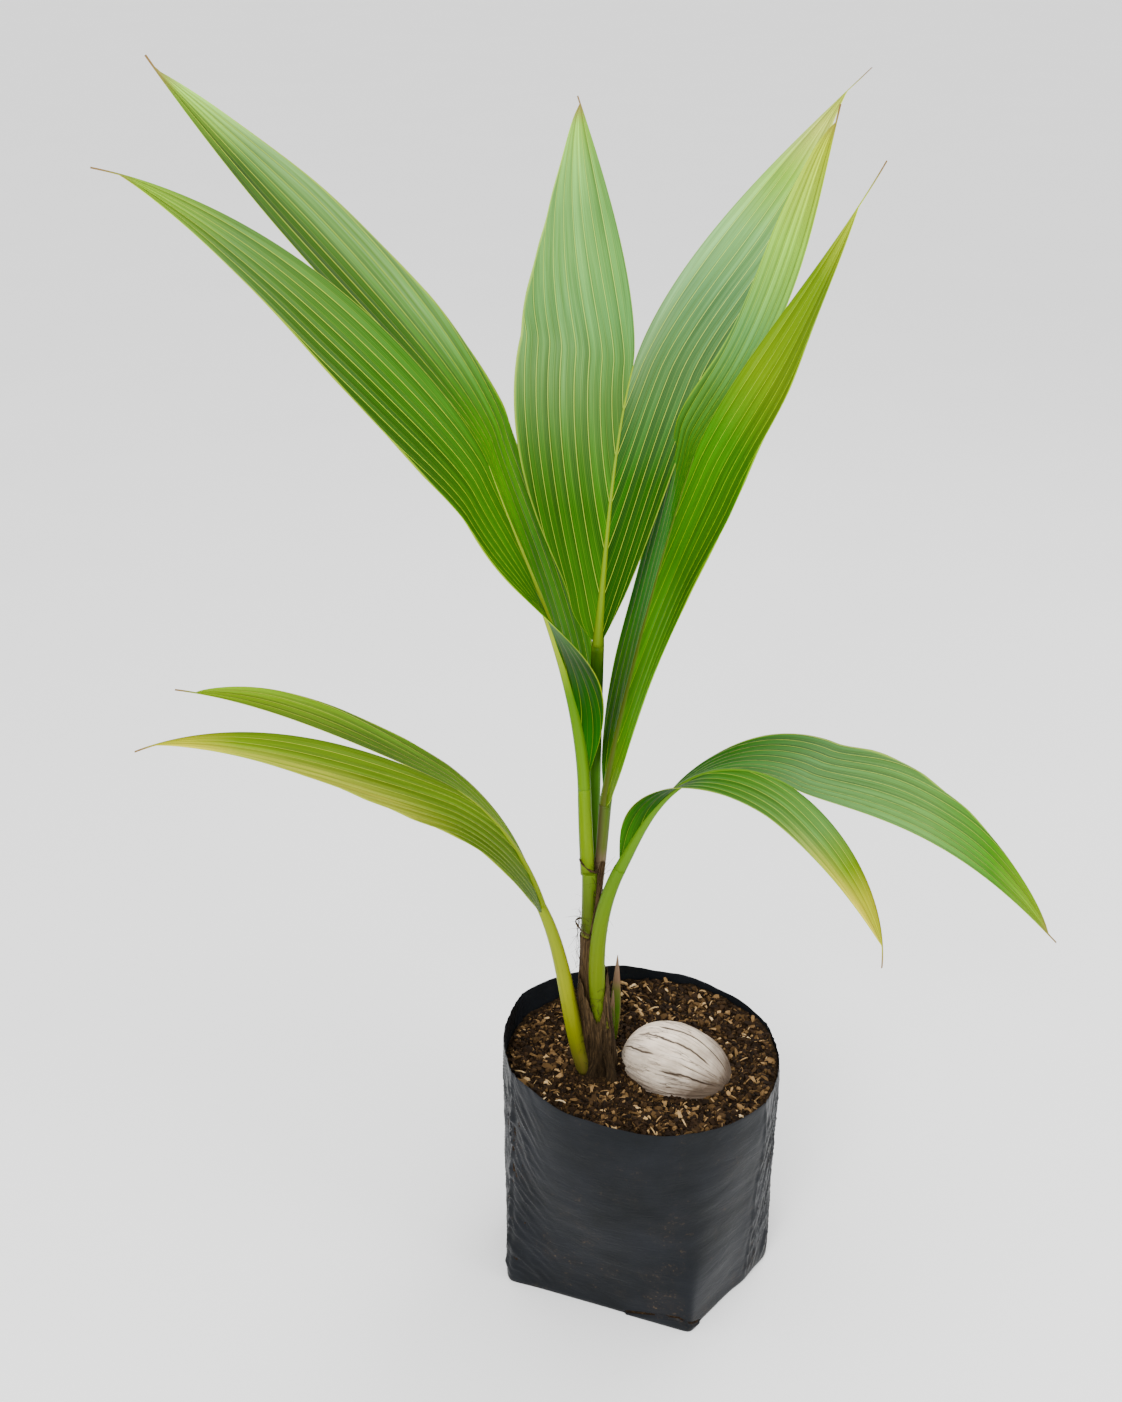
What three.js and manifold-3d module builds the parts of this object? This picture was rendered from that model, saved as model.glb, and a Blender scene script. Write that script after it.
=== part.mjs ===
// A young coconut palm in a black nursery bag: five split fronds on a short sheathed stem.
// Millimetres, +Z up. The origin is the middle of the bag's flat underside, the photographed
// front faces -Y. A heading is an angle round +Z from +X, and a lean is an angle from +Z.

import * as THREE from 'three';
import { mergeVertices } from 'three/addons/utils/BufferGeometryUtils.js';
import Module from 'manifold-3d';

const wasm = await Module();
wasm.setup();

// Driving dimensions

const GAP = 0.35; // clearance between touching pieces
const SOIL_TOP = 246;
const ROOTING = 5; // how far a limb runs on below its foot
const LIMB_STEPS = 9;
const BEND_STEPS = 48;
const ROUGHNESS = 0.6;
const END_PLACE = 0.499; // a place from -0.5 to 0.5 that is further out belongs to an end

const BAG = {
  radius: 144, // at the rim, where the bag is round
  height: 267, // of the rim's mean
  wall: 2,
  floor: 2,
  sides: [
    { heading: -111, reach: 114.5 },
    { heading: -40, reach: 131 },
    { heading: 2, reach: 142.5 },
  ], // flats of the foot, each with its opposite
  cornerSharpness: 55,
  rimTilt: { x: 15, y: 5 }, // the rim's rise at its left and at its front
  slump: { heading: 40, size: 6 }, // the rim sags outwards here
  creases: [-30, 22.5, 150, 202.5], // headings of the gusset folds
  creaseHeight: 2.5,
  creaseSpread: 7,
  hem: 1.6, // how far the wall tucks in to meet the underside
  levels: [0, 3, 9, 60, 120, 180, SOIL_TOP],
  facets: 48,
};

const COCONUT = {
  centre: new THREE.Vector3(38, -4, 239),
  halfLength: 62,
  halfWidth: 51,
  halfHeight: 49,
  heading: -30,
  ridge: 2, // height of its three blunt ridges
  taper: 0.08,
};

const STEM = {
  foot: new THREE.Vector3(-48, -3, SOIL_TOP),
  length: 166,
  lean: [5, 1, -1],
  heading: [180, 180, 180],
  radii: [21, 13, 11.5],
};

const SHEATH = {
  foot: new THREE.Vector3(-55, -3, 412),
  length: 75,
  lean: [0, 0, 1],
  heading: [180, 180, 180],
  radii: [9, 8.4, 8.2],
};

const SPIKE = {
  foot: new THREE.Vector3(-28, 38, SOIL_TOP),
  length: 112,
  lean: [0, 1, 4],
  heading: [0, 0, 0],
  radii: [3, 7.5, 0.8],
};

const BLADE = {
  thickness: 4.5,
  pleat: 1.2, // half the height of a fold
  pleatOnset: 2, // a fold is full where the half has reached 1 / 2 of its width
  columns: 4,
  stations: 8,
  tipWidth: 3,
  ribTip: 2.2, // the midrib's radius at the fork
  bow: 0.05, // how far a half hangs in the middle, as a part of its width
  bowStart: 0.15, // how far along the half that sets in
  forkEase: 0.6, // below 1, a lobe turns away from the midrib soon after the fork
  split: 0.6, // the slit between a blade and its lobe at the fork
};

// Each frond has a stalk that ends at its collar, a midrib that runs on to the fork, and
// two lobes past it. A list holds the values spread along a limb, from its start to its end.
// A lobe starts out as its midrib ends. A trim widens or narrows the half along its length.
// A side of 1 is the half on the right hand, seen along the frond with its upper face up.
const FRONDS = [
  {
    name: 'upper_left',
    colour: '#5d9a2c',
    collar: new THREE.Vector3(-61, 0, 580),
    stalk: { length: 99, lean: [3, 3, 1], heading: [180, 180, 181], radii: [7.4, 7.2, 6.6] },
    midrib: {
      length: 351, lean: [2, 15, 24, 17], heading: [181, 183, 187, 194],
    },
    halves: [
      {
        name: 'near', side: -1, length: 427, lean: [41, 35, 76], heading: [203, 192, 192],
        width: 94, rise: 1.12, fall: 0.97, trim: [1.45, 0.95, 0.75], roll: [92, -101, -21],
      },
      {
        name: 'far', side: 1, length: 439, lean: [55, 42, 34], heading: [185, 166, 171],
        width: 82, rise: 0.75, fall: 0.86, trim: [0.85, 1.1, 1.45], roll: [23, 11, 45],
      },
    ],
  },
  {
    name: 'right',
    colour: '#6fae1c',
    collar: new THREE.Vector3(-41, 0, 562),
    stalk: { length: 152, lean: [8, 3, 3], heading: [-20, -20, -5], radii: [4.6, 5.4, 6.4] },
    midrib: {
      length: 369, lean: [7, 13, 11, 16], heading: [8, -4, -6, 3],
    },
    halves: [
      {
        name: 'near', side: 1, length: 300, lean: [28, 41, 26], heading: [3, -10, -15],
        width: 93, rise: 0.71, fall: 0.95, trim: [0.8, 1.15, 1.5], roll: [2, -13, -28],
      },
      {
        name: 'far', side: -1, length: 323, lean: [71, -1, 12], heading: [16, 16, 22],
        width: 89, rise: 0.96, fall: 0.8, trim: [0.95, 1, 0.95], roll: [31, -18, 15],
      },
    ],
  },
  {
    name: 'centre',
    colour: '#7fa86a',
    collar: new THREE.Vector3(-49, 30, 719),
    stalk: { length: 335, lean: [3, 2, 5], heading: [90, 90, 75], radii: [4, 6, 6] },
    midrib: {
      length: 270, lean: [16, 15, 23, 43], heading: [74, 75, 74, 69],
    },
    halves: [
      {
        name: 'left', side: -1, length: 257, lean: [21, 28, 23], heading: [102, 125, 147],
        width: 102, rise: 1.06, fall: 0.75, trim: [1.1, 1.15, 0.95], roll: [22, 38, 1],
      },
      {
        name: 'right', side: 1, length: 395, lean: [52, 59, 52], heading: [53, 41, 22],
        width: 89, rise: 0.95, fall: 0.85, trim: [0.4, 1.05, 1.3], roll: [4, -14, 16],
      },
    ],
  },
  {
    name: 'low_left',
    colour: '#8ea83a',
    collar: new THREE.Vector3(-104, -10, 451),
    stalk: { length: 212, lean: [17, -1, 23], heading: [168, 170, 183], radii: [8, 7.2, 5.4] },
    midrib: {
      length: 165, lean: [13, 23, 34, 49], heading: [183, 186, 188, 190],
    },
    halves: [
      {
        name: 'near', side: -1, length: 316, lean: [63, 60, 107], heading: [191, 187, 194],
        width: 74, rise: 0.51, fall: 1.06, trim: [0.95, 1.1, 1.15], roll: [2, -15, -19],
      },
      {
        name: 'far', side: 1, length: 285, lean: [70, 55, 84], heading: [181, 177, 177],
        width: 51, rise: 0.75, fall: 0.75, trim: [0.95, 1.1, 1.05], roll: [-1, -10, 18],
      },
    ],
  },
  {
    name: 'low_right',
    colour: '#5a9432',
    collar: new THREE.Vector3(-27, -30, 507),
    stalk: { length: 206, lean: [-12, 5, 23], heading: [-45, -45, -30], radii: [8.8, 8.4, 6.4] },
    midrib: {
      length: 247, lean: [24, 13, 63, 108], heading: [-14, -21, -30, -33],
    },
    halves: [
      {
        name: 'near', side: 1, length: 194, lean: [117, 135, 180], heading: [-39, -43, -50],
        width: 50, rise: 0.99, fall: 0.86, trim: [1.1, 0.9, 0.8], roll: [93, -66, 8],
      },
      {
        name: 'far', side: -1, length: 293, lean: [85, 130, 136], heading: [-2, -5, -9],
        width: 87, rise: 1.2, fall: 0.75, trim: [1.05, 1.4, 1.15], roll: [-5, 1, 11],
      },
    ],
  },
];

// Curves

const radians = THREE.MathUtils.degToRad;
const lerp = THREE.MathUtils.lerp;
const smoothstep = THREE.MathUtils.smoothstep;

// The value at q of a smooth run through a list of controls, which meets the first and the last.
function blend(controls, q) {
  if (controls.length === 1) return controls[0];
  return blend(controls.slice(1).map((control, i) => lerp(controls[i], control, q)), q);
}

function directionOf(leanDegrees, headingDegrees) {
  const lean = radians(leanDegrees);
  const heading = radians(headingDegrees);
  const level = Math.sin(lean);
  return new THREE.Vector3(level * Math.cos(heading), level * Math.sin(heading), Math.cos(lean));
}

// A limb's centre line, whose lean and heading change along it.
class Bend {
  constructor(start, { length, lean, heading }, ease = 1) {
    this.length = length;
    this.lean = lean;
    this.heading = heading;
    this.points = [start.clone()];
    for (let i = 0; i < BEND_STEPS; i += 1) {
      const q = ((i + 0.5) / BEND_STEPS) ** ease;
      const direction = directionOf(blend(lean, q), blend(heading, q));
      this.points.push(this.points[i].clone().addScaledVector(direction, length / BEND_STEPS));
    }
  }

  // The same centre line, moved so that it ends at a point.
  static endingAt(end, shape) {
    const bend = new Bend(new THREE.Vector3(), shape);
    const shift = end.clone().sub(bend.points.at(-1));
    bend.points.forEach((point) => point.add(shift));
    return bend;
  }

  pointAt(q) {
    const place = THREE.MathUtils.clamp(q, 0, 1) * (this.points.length - 1);
    const i = Math.min(Math.floor(place), this.points.length - 2);
    return this.points[i].clone().lerp(this.points[i + 1], place - i);
  }

  // The point, the direction, the right hand and the upper side at q.
  frameAt(q) {
    const heading = blend(this.heading, q);
    const tangent = directionOf(blend(this.lean, q), heading);
    const right = new THREE.Vector3(Math.sin(radians(heading)), -Math.cos(radians(heading)), 0);
    const up = right.clone().cross(tangent);
    return { point: this.pointAt(q), tangent, right, up };
  }
}

// Solids

// Moves every vertex of a geometry to the place that a function gives, and merges the shared ones.
function remap(source, place) {
  const geometry = source.clone();
  geometry.deleteAttribute('normal');
  geometry.deleteAttribute('uv');
  const position = geometry.getAttribute('position');
  for (let i = 0; i < position.count; i += 1) {
    const moved = place(new THREE.Vector3().fromBufferAttribute(position, i));
    position.setXYZ(i, moved.x, moved.y, moved.z);
  }
  return mergeVertices(geometry, 1e-4);
}

function toSolid(geometry) {
  const vertProperties = new Float32Array(geometry.getAttribute('position').array);
  const triVerts = new Uint32Array(geometry.getIndex().array);
  return new wasm.Manifold(new wasm.Mesh({ numProp: 3, vertProperties, triVerts }));
}

function toGeometry(solid) {
  const mesh = solid.getMesh();
  const geometry = new THREE.BufferGeometry();
  geometry.setAttribute('position', new THREE.BufferAttribute(mesh.vertProperties, 3));
  geometry.setIndex(new THREE.BufferAttribute(mesh.triVerts, 1));
  return geometry;
}

function largestPart(solid) {
  const parts = solid.decompose();
  return parts.reduce((best, part) => (part.volume() > best.volume() ? part : best));
}

// Which end a place from -0.5 to 0.5 lies at: -1, 1, or 0 for neither.
function endOf(place) {
  return Math.abs(place) < END_PLACE ? 0 : Math.sign(place);
}

// A round limb along a bend, drawn on below its foot, where whatever it springs from cuts it.
// Grown is the clearance added all round it.
function limbSolid(bend, radii, sides, grown) {
  const straight = new THREE.CylinderGeometry(1, 1, 1, sides, LIMB_STEPS).rotateX(Math.PI / 2);
  return toSolid(remap(straight, (vertex) => {
    const q = vertex.z + 0.5;
    const frame = bend.frameAt(q);
    const radius = blend(radii, q) + grown;
    const end = endOf(vertex.z);
    const overrun = end * grown + Math.min(end, 0) * ROOTING;
    return frame.point
      .addScaledVector(frame.right, vertex.x * radius)
      .addScaledVector(frame.up, -vertex.y * radius)
      .addScaledVector(frame.tangent, overrun);
  }));
}

// The bag's outer radius at a heading and a height: six flats at the foot, round at the rim.
function bagRadius(heading, height) {
  const flats = BAG.sides.flatMap((side) => [side, { ...side, heading: side.heading + 180 }]);
  const sum = flats.reduce((total, side) => {
    const facing = Math.cos(radians(heading - side.heading));
    return total + (Math.max(facing, 0) / side.reach) ** BAG.cornerSharpness;
  }, 0);
  const foot = sum ** (-1 / BAG.cornerSharpness);
  const roundness = smoothstep(height, 0, SOIL_TOP);
  const fold = BAG.creases.reduce((total, crease) => {
    const apart = ((heading - crease + 540) % 360) - 180;
    return total + Math.exp(-((apart / BAG.creaseSpread) ** 2));
  }, 0);
  const hem = Math.max(0, 1 - height / BAG.levels[2]) ** 2 * BAG.hem;
  const sagging = Math.max(0, Math.cos(radians(heading - BAG.slump.heading))) ** 3;
  const slump = BAG.slump.size * sagging * (height / BAG.height) ** 2;
  return lerp(foot, BAG.radius, roundness) + fold * BAG.creaseHeight + slump - hem;
}

// Turns a profile of wall inset and height, the axis having an infinite inset, into the bag's form.
function bagForm(profile) {
  const points = profile.map(({ inset, height }) => (
    new THREE.Vector2(inset === Infinity ? 0 : 1, height)
  ));
  const lathe = new THREE.LatheGeometry(points, BAG.facets).rotateX(Math.PI / 2);
  let index = 0;
  return remap(lathe, (vertex) => {
    const { inset } = profile[index % profile.length];
    index += 1;
    if (inset === Infinity) return new THREE.Vector3(0, 0, vertex.z);
    const heading = THREE.MathUtils.radToDeg(Math.atan2(vertex.y, vertex.x));
    const radius = bagRadius(heading, vertex.z) - inset;
    const east = Math.cos(radians(heading));
    const north = Math.sin(radians(heading));
    const rim = vertex.z > SOIL_TOP ? -BAG.rimTilt.x * east - BAG.rimTilt.y * north : 0;
    return new THREE.Vector3(radius * east, radius * north, vertex.z + rim);
  });
}

// The bag as one open shell. Grown thickens it inwards, to cut the soil clear of it.
function potSolid(grown) {
  const outer = [...BAG.levels, BAG.height].map((height) => ({ inset: 0, height }));
  const inner = [BAG.height, ...BAG.levels.slice(2).reverse(), BAG.floor + grown]
    .map((height) => ({ inset: BAG.wall + grown, height }));
  const profile = [
    { inset: Infinity, height: 0 },
    ...outer,
    ...inner,
    { inset: Infinity, height: BAG.floor + grown },
  ];
  return toSolid(bagForm(profile));
}

// The potting mix, which reaches into the bag's wall until the bag cuts it.
function soilSolid() {
  const wall = BAG.levels.slice(2).map((height) => ({ inset: BAG.wall / 2, height }));
  const profile = [
    { inset: Infinity, height: BAG.floor / 2 },
    { inset: BAG.wall / 2, height: BAG.floor / 2 },
    ...wall,
    { inset: Infinity, height: SOIL_TOP },
  ];
  return toSolid(bagForm(profile));
}

// A weathered husk: an egg on its side, with three blunt ridges along it.
function coconutSolid(grown) {
  const { centre, halfLength, halfWidth, halfHeight, heading, ridge, taper } = COCONUT;
  const egg = remap(new THREE.SphereGeometry(1, 18, 12).rotateZ(Math.PI / 2), (vertex) => {
    const round = Math.atan2(vertex.z, vertex.y);
    const across = Math.hypot(vertex.y, vertex.z);
    const ridged = 1 + ridge / halfWidth * Math.cos(3 * round) * across;
    const swell = ridged * (1 - taper * vertex.x);
    return new THREE.Vector3(
      vertex.x * (halfLength + grown),
      vertex.y * swell * (halfWidth + grown),
      vertex.z * swell * (halfHeight + grown),
    );
  });
  egg.rotateZ(radians(heading)).translate(centre.x, centre.y, centre.z);
  return toSolid(egg);
}

// Fronds

// How wide a half is at t, from nothing at the collar to nothing at the tip.
function spreadAt(half, t) {
  const widest = half.rise / (half.rise + half.fall);
  const peak = widest ** half.rise * (1 - widest) ** half.fall;
  const outline = t ** half.rise * Math.max(1 - t, 0) ** half.fall / peak;
  return half.width * outline * blend([1, ...half.trim, 1], t);
}

// One half of a frond: its inner edge follows the midrib to the fork, then the lobe's own bend.
class Half {
  constructor(frond, midrib, half) {
    this.half = half;
    this.midrib = midrib;
    this.lobe = new Bend(midrib.points.at(-1), {
      length: half.length,
      lean: [frond.midrib.lean.at(-1), ...half.lean],
      heading: [frond.midrib.heading.at(-1), ...half.heading],
    }, BLADE.forkEase);
    this.length = midrib.length + half.length;
    this.fork = midrib.length / this.length;
  }

  // The place of a spot u of the way across and t of the way along, off the surface by a distance.
  placeAt(u, t, off) {
    const { half, fork } = this;
    const frame = t < fork
      ? this.midrib.frameAt(t / fork)
      : this.lobe.frameAt((t - fork) / (1 - fork));
    const roll = radians(blend(half.roll, t));
    const across = frame.right.clone().multiplyScalar(half.side * Math.cos(roll))
      .addScaledVector(frame.up, Math.sin(roll));
    const facing = frame.up.clone().multiplyScalar(Math.cos(roll))
      .addScaledVector(frame.right, -half.side * Math.sin(roll));
    const width = Math.max(spreadAt(half, t), BLADE.tipWidth);
    const sag = width * BLADE.bow * 4 * u * (1 - u) * smoothstep(t, 0, BLADE.bowStart);
    return frame.point
      .addScaledVector(across, width * u)
      .addScaledVector(facing, off - sag);
  }

  // The thin pleated slab between two places along the half.
  slab(from, to, grown) {
    const box = new THREE.BoxGeometry(1, 1, 1, BLADE.columns, 1, BLADE.stations);
    const thickness = BLADE.thickness + 2 * grown;
    return toSolid(remap(box, (vertex) => {
      const u = vertex.x + 0.5;
      const t = lerp(from, to, vertex.z + 0.5);
      const column = Math.round(u * BLADE.columns);
      const fade = Math.min(1, BLADE.pleatOnset * spreadAt(this.half, t) / this.half.width);
      const pleat = (column % 2 ? 1 : -1) * BLADE.pleat * fade;
      const place = this.placeAt(u, t, pleat - this.half.side * vertex.y * thickness);
      if (grown === 0) return place;
      const inner = this.placeAt(0, t, 0);
      const outer = this.placeAt(1, t, 0);
      const across = outer.sub(inner).normalize();
      return place.addScaledVector(across, grown * endOf(vertex.x));
    }));
  }
}

// Assembly

const palm = new THREE.Group();
const carved = []; // every finished solid, each with its grown copy

// Keeps a new piece clear of what it touches, adds it to the plant, and records its grown copy.
function addPiece(name, colour, solid, grown) {
  const reach = solid.boundingBox();
  const touching = carved.filter(({ box }) => box.min.every((low, i) => (
    low <= reach.max[i] && box.max[i] >= reach.min[i]
  )));
  const clear = touching.reduce((rest, other) => rest.subtract(other.grown), solid);
  const kept = largestPart(clear);
  const material = new THREE.MeshStandardMaterial({ color: colour, roughness: ROUGHNESS });
  const mesh = new THREE.Mesh(toGeometry(kept), material);
  mesh.name = name;
  palm.add(mesh);
  carved.push({ grown, box: grown.boundingBox() });
}

// The ground that cuts every stalk flat, a clearance above the soil.
function groundSolid() {
  const slab = new THREE.BoxGeometry(2 * BAG.radius, 2 * BAG.radius, SOIL_TOP);
  return toSolid(remap(slab, (vertex) => vertex.setZ(vertex.z + SOIL_TOP / 2 + GAP)));
}

function addLimb(name, colour, bend, radii, sides = 8) {
  addPiece(name, colour, limbSolid(bend, radii, sides, 0), limbSolid(bend, radii, sides, GAP));
}

addPiece('pot', '#17181a', potSolid(0), potSolid(GAP));
addPiece('coconut', '#a39c92', coconutSolid(0), coconutSolid(GAP));
addPiece('soil', '#3b2a1d', soilSolid(), groundSolid());

addLimb('stem', '#6b5138', new Bend(STEM.foot, STEM), STEM.radii, 14);
addLimb('sheath', '#86b52c', new Bend(SHEATH.foot, SHEATH), SHEATH.radii, 12);
addLimb('spike', '#6f8a3a', new Bend(SPIKE.foot, SPIKE), SPIKE.radii);

const halves = [];
for (const frond of FRONDS) {
  const stalk = Bend.endingAt(frond.collar, frond.stalk);
  const midrib = new Bend(frond.collar, frond.midrib);
  const ribRadii = [frond.stalk.radii.at(-1), BLADE.ribTip, BLADE.ribTip];
  addLimb(`${frond.name}_petiole`, '#9bb53a', stalk, frond.stalk.radii);
  frond.halves.forEach((half) => halves.push({ frond, shape: new Half(frond, midrib, half) }));
  addLimb(`${frond.name}_midrib`, '#a9bf4a', midrib, ribRadii);
}

for (const { frond, shape } of halves) {
  const split = BLADE.split / shape.length;
  const name = `${frond.name}_${shape.half.name}`;
  const parts = [
    { suffix: 'blade', from: 0, to: shape.fork },
    { suffix: 'lobe', from: shape.fork + split, to: 1 },
  ];
  for (const { suffix, from, to } of parts) {
    const solid = shape.slab(from, to, 0);
    const grown = shape.slab(from, to, GAP);
    addPiece(`${name}_${suffix}`, frond.colour, solid, grown);
  }
}

export default palm;
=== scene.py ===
import functools
import math
import random

import bmesh
import bpy
import numpy as np
from mathutils import Matrix, Vector, noise


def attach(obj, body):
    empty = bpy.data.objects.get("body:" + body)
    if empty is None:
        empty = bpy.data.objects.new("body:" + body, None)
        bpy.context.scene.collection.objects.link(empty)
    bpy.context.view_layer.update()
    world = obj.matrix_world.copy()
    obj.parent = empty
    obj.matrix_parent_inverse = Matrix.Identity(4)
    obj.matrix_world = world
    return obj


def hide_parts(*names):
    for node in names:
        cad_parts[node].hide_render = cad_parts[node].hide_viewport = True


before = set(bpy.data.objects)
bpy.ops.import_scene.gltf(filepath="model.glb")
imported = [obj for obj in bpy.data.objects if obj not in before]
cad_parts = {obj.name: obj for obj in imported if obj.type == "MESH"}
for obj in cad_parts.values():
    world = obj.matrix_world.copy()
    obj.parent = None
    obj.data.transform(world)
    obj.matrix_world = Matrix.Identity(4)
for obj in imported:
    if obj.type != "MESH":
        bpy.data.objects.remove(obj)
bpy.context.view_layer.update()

# The camera and lamps are placed in metres. The pieces' dictionaries hold millimetres. +Z is up, and
# the photographed front faces -Y. A heading is an angle round +Z from +X, and a lean an angle from
# +Z, both in degrees. A list of leans, headings or radii is blended along a limb.

mm = 0.001


# linear RGBA of an sRGB hex colour
def colour(code):
    parts = [int(code[i:i + 2], 16) / 255 for i in (1, 3, 5)]
    return [c / 12.92 if c <= 0.04045 else ((c + 0.055) / 1.055) ** 2.4 for c in parts] + [1.0]


# adds a node with its links, values and settings, and gives one of its outputs
def addNode(tree, kind, links=None, stops=None, out=0, **settings):
    made = tree.nodes.new("ShaderNode" + kind)
    for name, value in settings.items():
        setattr(made, name, value)
    for socket, value in (links or {}).items():
        target = made.inputs[socket]
        if isinstance(value, bpy.types.NodeSocket):
            tree.links.new(value, target)
        else:
            target.default_value = value
    if stops:
        elements = made.color_ramp.elements
        while len(elements) < len(stops):
            elements.new(0.5)
        for element, (place, code) in zip(elements, stops):
            element.position = place
            element.color = colour(code)
    return made.outputs[out] if len(made.outputs) else None


# a new material, and the function that adds a node to it
def newMaterial(name):
    material = bpy.data.materials.new(name)
    material.use_nodes = True
    material.node_tree.nodes.clear()
    return material, functools.partial(addNode, material.node_tree)


# the scale of a pattern on Object coordinates whose features are that many millimetres
def perMetre(size):
    return 1 / (size * mm)


# fibres, veins or creases: noise that is drawn out by giving each coordinate its own scale
def drawnOut(add, place, scales, detail, roughness, distortion=0.0, scale=1.0):
    stretched = add("Mapping", {"Vector": place, "Scale": scales})
    return add("TexNoise", {"Vector": stretched, "Scale": scale, "Detail": detail,
                            "Roughness": roughness, "Distortion": distortion})


# a Bernstein blend of the controls at q, an array from 0 to 1
def blend(controls, q):
    n = len(controls) - 1
    return sum(math.comb(n, i) * c * q ** i * (1 - q) ** (n - i) for i, c in enumerate(controls))


def smooth(low, high, x):
    s = np.clip((x - low) / (high - low), 0, 1)
    return s * s * (3 - 2 * s)


def xyz(x, y, z):
    return np.stack(np.broadcast_arrays(x, y, z), -1)


# spots round +Z, at turns in radians
def onRing(turn, reach=1.0, height=0.0):
    return xyz(reach * np.cos(turn), reach * np.sin(turn), height)


# the other columns of a table at q, which its first column holds
def readOff(table, q):
    first, *others = np.array(table, float).T
    return [np.interp(q, first, column) for column in others]


def directionOf(lean, heading):
    lean, heading = np.radians(lean), np.radians(heading)
    return onRing(heading, np.sin(lean), np.cos(lean))


def turnedFrom(heading, other):
    return (heading - other + 540) % 360 - 180


# smooth noise of about -1 to 1 at an array of points, with features of that size
def wobble(points, size, seed=0.0):
    shift = Vector((seed, 3.1 * seed, -1.7 * seed))
    return np.array([noise.noise(Vector(p) / size + shift) for p in points]) * 1.6


# a limb's centre line, whose lean and heading change along it
class Bend:
    steps = 96

    def __init__(self, start, shape, ease=1.0):
        self.length = shape["length"] * mm
        self.lean, self.heading = shape["lean"], shape["heading"]
        q = ((np.arange(self.steps) + 0.5) / self.steps) ** ease
        ways = directionOf(blend(self.lean, q), blend(self.heading, q)) * self.length / self.steps
        self.points = np.vstack([[0, 0, 0], np.cumsum(ways, 0)]) + np.array(start, float)

    def endAt(self, end):
        self.points += np.array(end) - self.points[-1]
        return self

    # the point, the right hand and the upper side at an array of q
    def at(self, q):
        places = np.linspace(0, 1, self.steps + 1)
        point = xyz(*[np.interp(q, places, column) for column in self.points.T])
        heading = blend(self.heading, q)
        turn = np.radians(heading)
        right = xyz(np.sin(turn), -np.cos(turn), 0)
        return point, right, np.cross(right, directionOf(blend(self.lean, q), heading))


# a bmesh grid over u and v from 0 to 1, put in place by a function of both; marks gives a pair
# of values for each named UV layer
def sheet(columns, rows, place, marks=None, closed=False, flip=False):
    bm = bmesh.new()
    bmesh.ops.create_grid(bm, x_segments=columns, y_segments=rows, size=0.5)
    u, v, _ = np.array([vert.co for vert in bm.verts]).T + 0.5
    points = place(u, v)
    for name, pair in (marks(u, v) if marks else {"surface": (u, v)}).items():
        drawn = np.stack(pair, -1)
        layer = bm.loops.layers.uv.new(name)
        for face in bm.faces:
            face.smooth = True
            for loop in face.loops:
                loop[layer].uv = drawn[loop.vert.index]
    for vert, point in zip(bm.verts, points):
        vert.co = point
    if closed:
        bmesh.ops.remove_doubles(bm, verts=bm.verts, dist=1e-7)
        rims = [edge for edge in bm.edges if edge.is_boundary]
        if rims:
            for cap in bmesh.ops.holes_fill(bm, edges=rims, sides=0)["faces"]:
                cap.smooth = False
        bmesh.ops.recalc_face_normals(bm, faces=bm.faces)
    elif flip:
        bmesh.ops.reverse_faces(bm, faces=bm.faces)
    return bm


# a bmesh's mesh, once the bmesh is freed
def meshOf(bm, name):
    mesh = bpy.data.meshes.new(name)
    bm.to_mesh(mesh)
    bm.free()
    return mesh


def addObject(name, data):
    made = bpy.data.objects.new(name, data)
    bpy.context.scene.collection.objects.link(made)
    return made


def addPiece(name, bm, materials, slot, *nodes):
    piece = addObject(name, meshOf(bm, name))
    for material in materials:
        piece.data.materials.append(material)
    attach(piece, "root")
    if nodes:
        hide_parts(*nodes)
    return piece


# a wall that stands half on each side of a piece's sheet; its far side may have the next material
def thicken(piece, wall, materialStep=0):
    solid = piece.modifiers.new("thickness", "SOLIDIFY")
    solid.thickness = wall * mm
    solid.offset = 0
    solid.material_offset = materialStep


view = {"lens": 46.91, "sensor": 36, "place": (-0.084, -1.532, 1.489), "down": 27.9, "sky": 1.6}
lamps = {
    "key": {"place": (-0.9, -2.3, 2.3), "aim": (0, 0, 0.6), "size": 1.2, "power": 80},
    "rear": {"place": (1.2, 1.5, 2.3), "aim": (0, 0, 0.8), "size": 1.4, "power": 30},
    "side": {"place": (1.9, -1.2, 1.2), "aim": (0, 0, 0.4), "size": 1.0, "power": 20},
}

camera = addObject("camera", bpy.data.cameras.new("camera"))
camera.data.lens, camera.data.sensor_width = view["lens"], view["sensor"]
camera.data.clip_start, camera.data.clip_end = 0.05, 50
camera.location = view["place"]
camera.rotation_euler = (math.radians(90 - view["down"]), 0, 0)
bpy.context.scene.camera = camera

world = bpy.data.worlds.new("studio")
bpy.context.scene.world = world
world.use_nodes = True
sky = world.node_tree.nodes["Background"].inputs
sky["Color"].default_value = (1, 1, 1, 1)
sky["Strength"].default_value = view["sky"]

for name, lamp in lamps.items():
    light = addObject(name, bpy.data.lights.new(name, "AREA"))
    light.data.shape = "DISK"
    light.data.size, light.data.energy = lamp["size"], lamp["power"]
    light.location = lamp["place"]
    way = Vector(lamp["aim"]) - Vector(lamp["place"])
    light.rotation_euler = way.to_track_quat("-Z", "Y").to_euler()

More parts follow.
